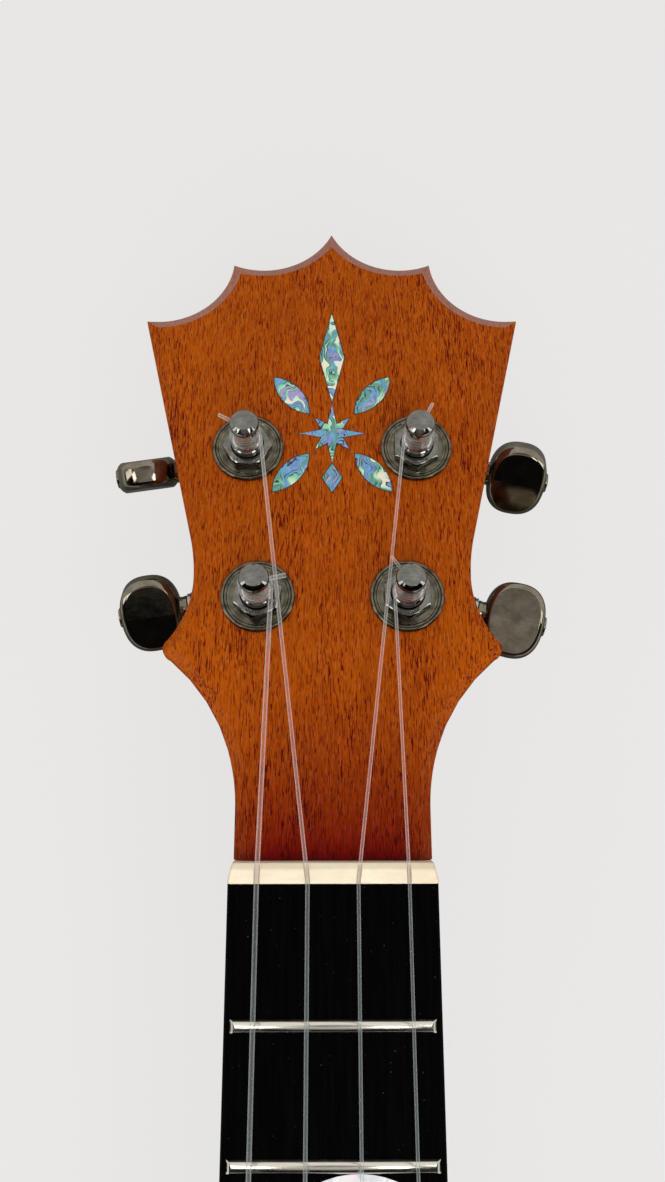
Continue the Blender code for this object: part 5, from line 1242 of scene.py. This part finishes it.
def nutHalf(y):
    share = min(max(y / places["nutThickness"], 0), 1)
    return nut["frontHalf"] + (nut["backHalf"] - nut["frontHalf"]) * share


def makeNut():
    n = nut
    foot = places["bodyDepth"] + places["glueGap"]
    top = places["boardTop"] + n["rise"]
    deep = places["nutThickness"]
    corners = [(0, foot, 0), (deep, foot, 0), (deep, top - n["backDrop"], n["backRound"])]
    corners += [(n["flat"], top, n["topRound"]), (0, top, n["frontRound"])]
    profile = filleted(corners, 5)
    rings = []
    for side in (-1, 1):
        steps = range(n["endSteps"] + 1)
        for k in steps if side < 0 else reversed(steps):
            angle = math.pi / 2 * k / n["endSteps"]
            drawn = n["endRound"] * (1 - math.sin(angle))
            inset = n["endRound"] * (1 - math.cos(angle))
            ring = []
            for y, z in profile:
                low = min(max((z - foot) / (top - foot), 0), 1)
                shrunk = deep / 2 + (y - deep / 2) * (1 - drawn * 0.6 / deep)
                ring.append((side * (nutHalf(y) - inset), places["nutY"] + shrunk, z - drawn * low))
            rings.append(ring)
    piece = addPiece("stringNut", ringSolid(rings), "bone", smooth=40, stands=["nut"])
    for name, string in strings.items():
        route = stringRoute(name)
        width = string["diameter"] / 2 + n["slotRoom"]
        before = route["nut"] - (route["nut"] - route["saddle"]).normalized() * deep
        after = route["nut"] + (route["tangent"] - route["nut"]).normalized() * 2 * deep
        bend = [math.pi + math.pi * i / n["slotSteps"] for i in range(n["slotSteps"] + 1)]
        section = [Vector((width * math.cos(a), 0, width * math.sin(a))) for a in bend]
        section += [Vector((side * width * n["slotFlare"], 0, n["slotHeight"])) for side in (1, -1)]
        spots = (before, route["nut"], after)
        cutOut(piece, ringSolid([[spot + corner for corner in section] for spot in spots]))


makeNut()
print("nut made")


# Inlays: flat pieces that stand a hair above the wood


def leafOutline(x, y, length, width, angle, steps=14):
    half, reach = length / 2, width / 2
    radius = (half * half + reach * reach) / (2 * reach)
    points = arcPoints((half, 0), (-half, 0), radius, steps) + arcPoints((-half, 0), (half, 0), radius, steps)
    turn = Matrix.Rotation(math.radians(angle), 2)
    return [tuple(turn @ Vector(p) + Vector((x, y))) for p in points]


def lozengeOutline(y, halfWidth, halfLength, power=1.25, pull=0.6, sides=40):
    points = []
    for a in turns(sides):
        px = bulged(math.cos(a), power) * halfWidth
        py = bulged(math.sin(a), power) * halfLength
        points.append((px * abs(px / halfWidth) ** pull, y + py * abs(py / halfLength) ** pull))
    return points


def starOutline(y, radii, points=8):
    outline = []
    for i in range(points * 2):
        a = math.pi / 2 + math.pi * i / points
        radius = radii[2] if i % 2 else radii[(i // 2) % 2]
        outline.append((radius * math.cos(a), y + radius * math.sin(a)))
    return outline


def grown(outline, distance):
    count = len(outline)
    result = []
    for i in range(count):
        before, here, after = Vector(outline[i - 1]), Vector(outline[i]), Vector(outline[(i + 1) % count])
        a, b = (here - before).normalized(), (after - here).normalized()
        out = Vector((a.y, -a.x))
        normal = (out + Vector((b.y, -b.x))).normalized()
        result.append(tuple(here + normal * min(distance / max(normal.dot(out), 0.35), distance * 2.5)))
    return result


def platesOf(outlines, low, high):
    shape = bmesh.new()
    for outline in outlines:
        mergeShape(shape, ringSolid([[(x, y, z) for x, y in outline] for z in (low, high)]))
    return shape


rose = {
    "centre": 0.0855, "star": (0.0067, 0.005, 0.0023), "upper": (0.1034, 0.0026, 0.0106),
    "lower": (0.0755, 0.002, 0.0032), "leafPlace": (0.0084, 0.0088), "leafSize": (0.0112, 0.0043),
    "leafTurn": 49, "line": 0.00018, "glueLevels": (0.00001, 0.00003), "shellLevels": (0.00002, 0.00006),
}


def makeRose():
    r = rose
    outlines = [starOutline(r["centre"], r["star"]), lozengeOutline(*r["upper"]), lozengeOutline(*r["lower"])]
    for sideways in (-1, 1):
        for upward in (-1, 1):
            x, y = sideways * r["leafPlace"][0], r["centre"] + upward * r["leafPlace"][1]
            outlines.append(leafOutline(x, y, *r["leafSize"], sideways * upward * r["leafTurn"]))
    glue = platesOf([grown(outline, r["line"]) for outline in outlines], *r["glueLevels"])
    addPiece("roseOutline", glue, "inlayGlue", matrix=headFrame)
    addPiece("roseInlay", platesOf(outlines, *r["shellLevels"]), "abalone", matrix=headFrame)


markers = {
    "frets": (5, 7, 10, 15), "double": 12, "radius": 0.0029, "pair": 0.0095, "levels": (0.00001, 0.00005),
    "thirdLeaves": [(0.0032, 0.0036, 0.0262, 0.0118, 6), (-0.0062, -0.0048, 0.0165, 0.0066, 38)],
    "sideRadius": 0.0009, "sideLevels": (-0.0003, 0.00004), "sideDrop": 0.0022, "sidePair": 0.002,
    "nutWidth": 0.0376, "taper": 0.0314,
}


def betweenFrets(fret):
    return (fretDistance(fret) + fretDistance(fret - 1)) / 2


def makeMarkers():
    m = markers
    top = places["boardTop"]
    dots = [(0, fret) for fret in m["frets"]] + [(-m["pair"], m["double"]), (m["pair"], m["double"])]
    outlines = [circleOutline(x, fromNut(betweenFrets(fret)), m["radius"], 32) for x, fret in dots]
    third = fromNut(betweenFrets(3))
    outlines += [leafOutline(x, third + y, *size) for x, y, *size in m["thirdLeaves"]]
    addPiece("pearlMarkers", platesOf(outlines, *[top + level for level in m["levels"]]), "pearl")
    shape = bmesh.new()
    for fret in (3, *m["frets"], m["double"]):
        for shift in (0,) if fret != m["double"] else (-m["sidePair"], m["sidePair"]):
            distance = betweenFrets(fret) + shift
            edge = -(m["nutWidth"] + m["taper"] * distance) / 2
            disc = turned([(m["sideRadius"], level) for level in m["sideLevels"]], 20)
            place = Matrix.Translation((edge, fromNut(distance), top - m["sideDrop"]))
            disc.transform(place @ Matrix.Rotation(-math.pi / 2, 4, "Y"))
            mergeShape(shape, disc)
    addPiece("sideDots", shape, "pearl")


rosette = {
    "rings": ((0.0305, 0.0309, "pearl"), (0.0311, 0.0336, "abalone"), (0.0338, 0.0342, "pearl")),
    "bed": (0.0303, 0.0344), "bedLevels": (0.00001, 0.00003), "levels": (0.00002, 0.00005),
    "lastFret": 18, "boardOver": 0.0075, "fromBoard": 0.0102, "holeRadius": 0.028,
}
boardLength = fretDistance(rosette["lastFret"]) + rosette["boardOver"]
holeY = fromNut(boardLength + rosette["fromBoard"] + rosette["holeRadius"])


def makeRosette():
    def annulus(inner, outer, low, high):
        return turned([(inner, low), (outer, low), (outer, high), (inner, high)], 128, closed=True)

    r = rosette
    place = Matrix.Translation((0, holeY, places["bodyDepth"]))
    addPiece("rosetteBed", annulus(*r["bed"], *r["bedLevels"]), "inlayGlue", matrix=place)
    for i, (inner, outer, finish) in enumerate(r["rings"], 1):
        addPiece(f"rosetteRing_{i}", annulus(inner, outer, *r["levels"]), finish, matrix=place)


makeRose()
makeMarkers()
makeRosette()
print("inlays made")


# Body: the same outline as the solids, in finer steps

body = {
    "length": 0.301998, "lower": (0.224998, 0.088), "waist": (0.142, 0.19), "upper": (0.17, 0.25),
    "neckHalf": 0.026, "lowerHandles": (0.6, 0.56, 0.46), "waistHandles": (0.36, 0.42),
    "upperHandles": (0.45, 0.6, 0.62), "steps": 24, "top": 0.0024, "back": 0.0022, "edge": 0.0009,
    "side": 0.002, "lining": 0.0055, "liningFoot": 0.004, "liningHeight": 0.011, "blockHalf": 0.025,
    "liningStop": 0.006, "seatGap": 0.0003,
}


def bezier(p0, p1, p2, p3, steps):
    points = []
    for i in range(1, steps + 1):
        t = i / steps
        s = 1 - t
        shares = (s**3, 3 * s * s * t, 3 * s * t * t, t**3)
        points.append(tuple(sum(share * p[k] for share, p in zip(shares, (p0, p1, p2, p3))) for k in (0, 1)))
    return points


def bodyHalf():
    b = body
    tail = (0.0, fromNut(fretDistance(places["bodyFret"]) + b["length"]))
    lower, waist, upper = [(b[name][0] / 2, tail[1] + b[name][1]) for name in ("lower", "waist", "upper")]
    neck = (b["neckHalf"], tail[1] + b["length"])
    lowRise, lowRun = lower[1] - tail[1], waist[1] - lower[1]
    highRun, shoulder = upper[1] - waist[1], neck[1] - upper[1]
    lh, wh, uh = b["lowerHandles"], b["waistHandles"], b["upperHandles"]
    curves = [
        (tail, (lower[0] * lh[0], tail[1]), (lower[0], lower[1] - lowRise * lh[1]), lower),
        (lower, (lower[0], lower[1] + lowRun * lh[2]), (waist[0], waist[1] - lowRun * wh[0]), waist),
        (waist, (waist[0], waist[1] + highRun * wh[1]), (upper[0], upper[1] - highRun * uh[0]), upper),
        (upper, (upper[0], upper[1] + shoulder * uh[1]), (upper[0] * uh[2], neck[1]), neck),
    ]
    return [tail] + [point for curve in curves for point in bezier(*curve, b["steps"])]


def plateShape(outlines, low, high):
    edge = body["edge"]
    curve = bpy.data.curves.new("plate", "CURVE")
    curve.dimensions = "2D"
    curve.fill_mode = "BOTH"
    curve.bevel_depth = edge
    curve.bevel_resolution = 3
    curve.offset = -edge
    curve.extrude = (high - low) / 2 - edge
    for outline in outlines:
        addLine(curve, [(x, y, 0) for x, y in outline]).use_cyclic_u = True
    plate = addObject("plate", curve)
    mesh = evaluatedMesh(plate)
    shape = bmesh.new()
    shape.from_mesh(mesh)
    bmesh.ops.translate(shape, verts=shape.verts, vec=(0, 0, (low + high) / 2))
    bpy.data.objects.remove(plate, do_unlink=True)
    bpy.data.meshes.remove(mesh)
    return shape


# The side wall with its linings, as one section that follows half of the outline
def makeSide(name, side, line):
    b = body
    low = b["back"] + places["glueGap"]
    high = places["bodyDepth"] - b["top"] - places["glueGap"]
    ends = {0: Vector((0, 1)), len(line) - 1: Vector((0, -1))}
    rings = []
    for i, (x, y) in enumerate(line):
        way = (Vector(line[min(i + 1, len(line) - 1)]) - Vector(line[max(i - 1, 0)])).normalized()
        normal = ends.get(i) or Vector((-way.y, way.x))
        lining = b["side"] if x < b["blockHalf"] + b["liningStop"] else b["lining"]
        section = [
            (0, low), (0, high), (lining, high), (lining, high - b["liningFoot"]),
            (b["side"], high - b["liningHeight"]), (b["side"], low + b["liningHeight"]),
            (lining, low + b["liningFoot"]), (lining, low),
        ]
        ring = []
        for depth, z in section:
            ring.append((side * max(x + normal.x * depth, b["seatGap"] / 2), y + normal.y * depth, z))
        rings.append(ring)
    wall = ringSolid(rings)
    addPiece(name + "SideWall", wall, "bodyMahogany", smooth=40, stands=[name + "_side"])


def makeBody():
    half = bodyHalf()
    outline = mirrored(half)
    hole = circleOutline(0, holeY, rosette["holeRadius"], 96, way=-1)
    top = places["bodyDepth"]
    soundboard = plateShape([outline, hole], top - body["top"], top)
    addPiece("soundboardPlate", soundboard, "bodyMahogany", smooth=50, stands=["soundboard"])
    backPlate = plateShape([outline], 0, body["back"])
    addPiece("backPlate", backPlate, "bodyMahogany", smooth=50, stands=["back_plate"])
    for name, side in (("bass", -1), ("treble", 1)):
        makeSide(name, side, half + [(0.0, half[-1][1])])


makeBody()
print("body made")


# Screws that hold the housings to the back of the head

ear = {
    "place": 0.0147, "radius": 0.0017, "rise": 0.0009, "under": 0.0128, "thickness": 0.0017, "lift": 0.00002,
    "shaftRadius": 0.0009, "shaftLength": 0.001, "slot": (0.0012, 0.00018), "slotDepth": 0.0004,
    "slotTurn": 0.4,
}


def makeHousingScrew(name):
    e = ear
    low = -e["under"] - e["thickness"]
    profile = [
        (e["shaftRadius"], low + e["shaftLength"], 0),
        (e["shaftRadius"], low - e["lift"], 0),
        (e["radius"], low - e["lift"], 0.0001),
        (e["radius"] * 0.9, low - e["rise"] * 0.7, 0.0005),
        (0.0001, low - e["rise"], 0),
    ]
    place = tunerFrame(name)[0] @ Matrix.Translation((-e["place"], 0, 0))
    shape = turned(filleted(profile), 28)
    screw = addPiece("earScrew_" + name, shape, "smokedNickel", matrix=place)
    cutCross(screw, e["slot"], (low - 0.002, low - e["rise"] + e["slotDepth"]), place, "Z", e["slotTurn"])


for tuner in tuners:
    makeHousingScrew(tuner)
print("screws made")


# Floor, light and surroundings

studio = {
    "floor": (1.0, 0.99, 0.972), "floorGlow": 0.715, "floorShare": 0.08, "shade": (0.04, 0.04, 0.035, 1),
    "floorHalf": 4.0, "floorDrop": 0.0003, "aim": (0, 0.25, 0.07), "backdrop": (0.8, 0.79, 0.775, 1),
    "key": (10.5, (0.9, 0.7), (0.1, -0.4, 0.95)),  # power, size, place
    "southEast": (0.75, (0.22, 0.22), (0.387, 0.027, 0.844)),
    "southWest": (0.75, (0.22, 0.22), (-0.513, 0.045, 0.772)),
    "left": (0.4, (0.12, 0.4), (-0.55, 0.2, 0.35)),
    "right": (0.4, (0.12, 0.4), (0.55, 0.2, 0.35)),
    "north": [(0.0, 0.8), (0.35, 0.78), (0.93, 0.84), (0.985, 0.1), (1.0, 0.05)],  # height, brightness
    "south": [
        (0.0, 0.16), (0.14, 0.12), (0.26, 0.012), (0.79, 0.008), (0.86, 0.36), (0.975, 0.5), (1.0, 0.45),
    ],
}


def makeFloor():
    half = studio["floorHalf"]
    shape = bmesh.new()
    corners = ((-half, -half), (half, -half), (half, half), (-half, half))
    shape.faces.new([shape.verts.new((x, y, -studio["floorDrop"])) for x, y in corners])
    mesh = meshFrom("floor", shape)
    values = {"Roughness": 0.7, "Specular IOR Level": 0.1, "Emission Strength": studio["floorGlow"]}
    material, tree, shader, place = newMaterial("paleFloor", values)
    low, high = [(*[c * studio["floorShare"] * part for c in studio["floor"]], 1) for part in (0.98, 1)]
    colour = mixColour(tree, noise(tree, place, 6.0, 2.0), low, high)
    tree.links.new(colour, shader.inputs["Base Color"])
    away = vectorMaths(tree, "DISTANCE", place, (0, 0.2, 0))["Value"]
    glossy = tree.nodes.new("ShaderNodeLightPath").outputs["Is Glossy Ray"]
    under = times(tree, glossy, spread(tree, away, 0.4, 0.1))
    glow = mixColour(tree, under, (*studio["floor"], 1), studio["shade"])
    tree.links.new(glow, shader.inputs["Emission Color"])
    mesh.materials.append(material)
    floor = addObject("floor", mesh)


def makeLamp(name, glossy=True):
    lamp = bpy.data.lights.new(name, "AREA")
    lamp.shape = "RECTANGLE"
    lamp.energy, (lamp.size, lamp.size_y), place = studio[name]
    holder = addObject(name, lamp)
    holder.location = place
    holder.rotation_euler = (Vector(studio["aim"]) - Vector(place)).to_track_quat("-Z", "Y").to_euler()
    holder.visible_glossy = glossy


def makeWorld():
    world = bpy.data.worlds.new("studio")
    world.use_nodes = True
    tree = world.node_tree
    y, z = apart(tree, tree.nodes.new("ShaderNodeTexCoord").outputs["Generated"])[1:]
    halves = []
    for name in ("south", "north"):
        halves.append(colourRamp(tree, z, [(at, (v, v * 0.98, v * 0.94)) for at, v in studio[name]]))
    room = mixColour(tree, spread(tree, y, -0.1, 0.1), *halves)
    seen = tree.nodes.new("ShaderNodeLightPath").outputs["Is Camera Ray"]
    tree.links.new(mixColour(tree, seen, room, studio["backdrop"]), tree.nodes["Background"].inputs[0])
    bpy.context.scene.world = world


makeFloor()
makeLamp("key", glossy=False)
for lamp in ("southEast", "southWest", "left", "right"):
    makeLamp(lamp)
makeWorld()
bpy.context.scene.view_settings.view_transform = "Standard"
print("studio made")
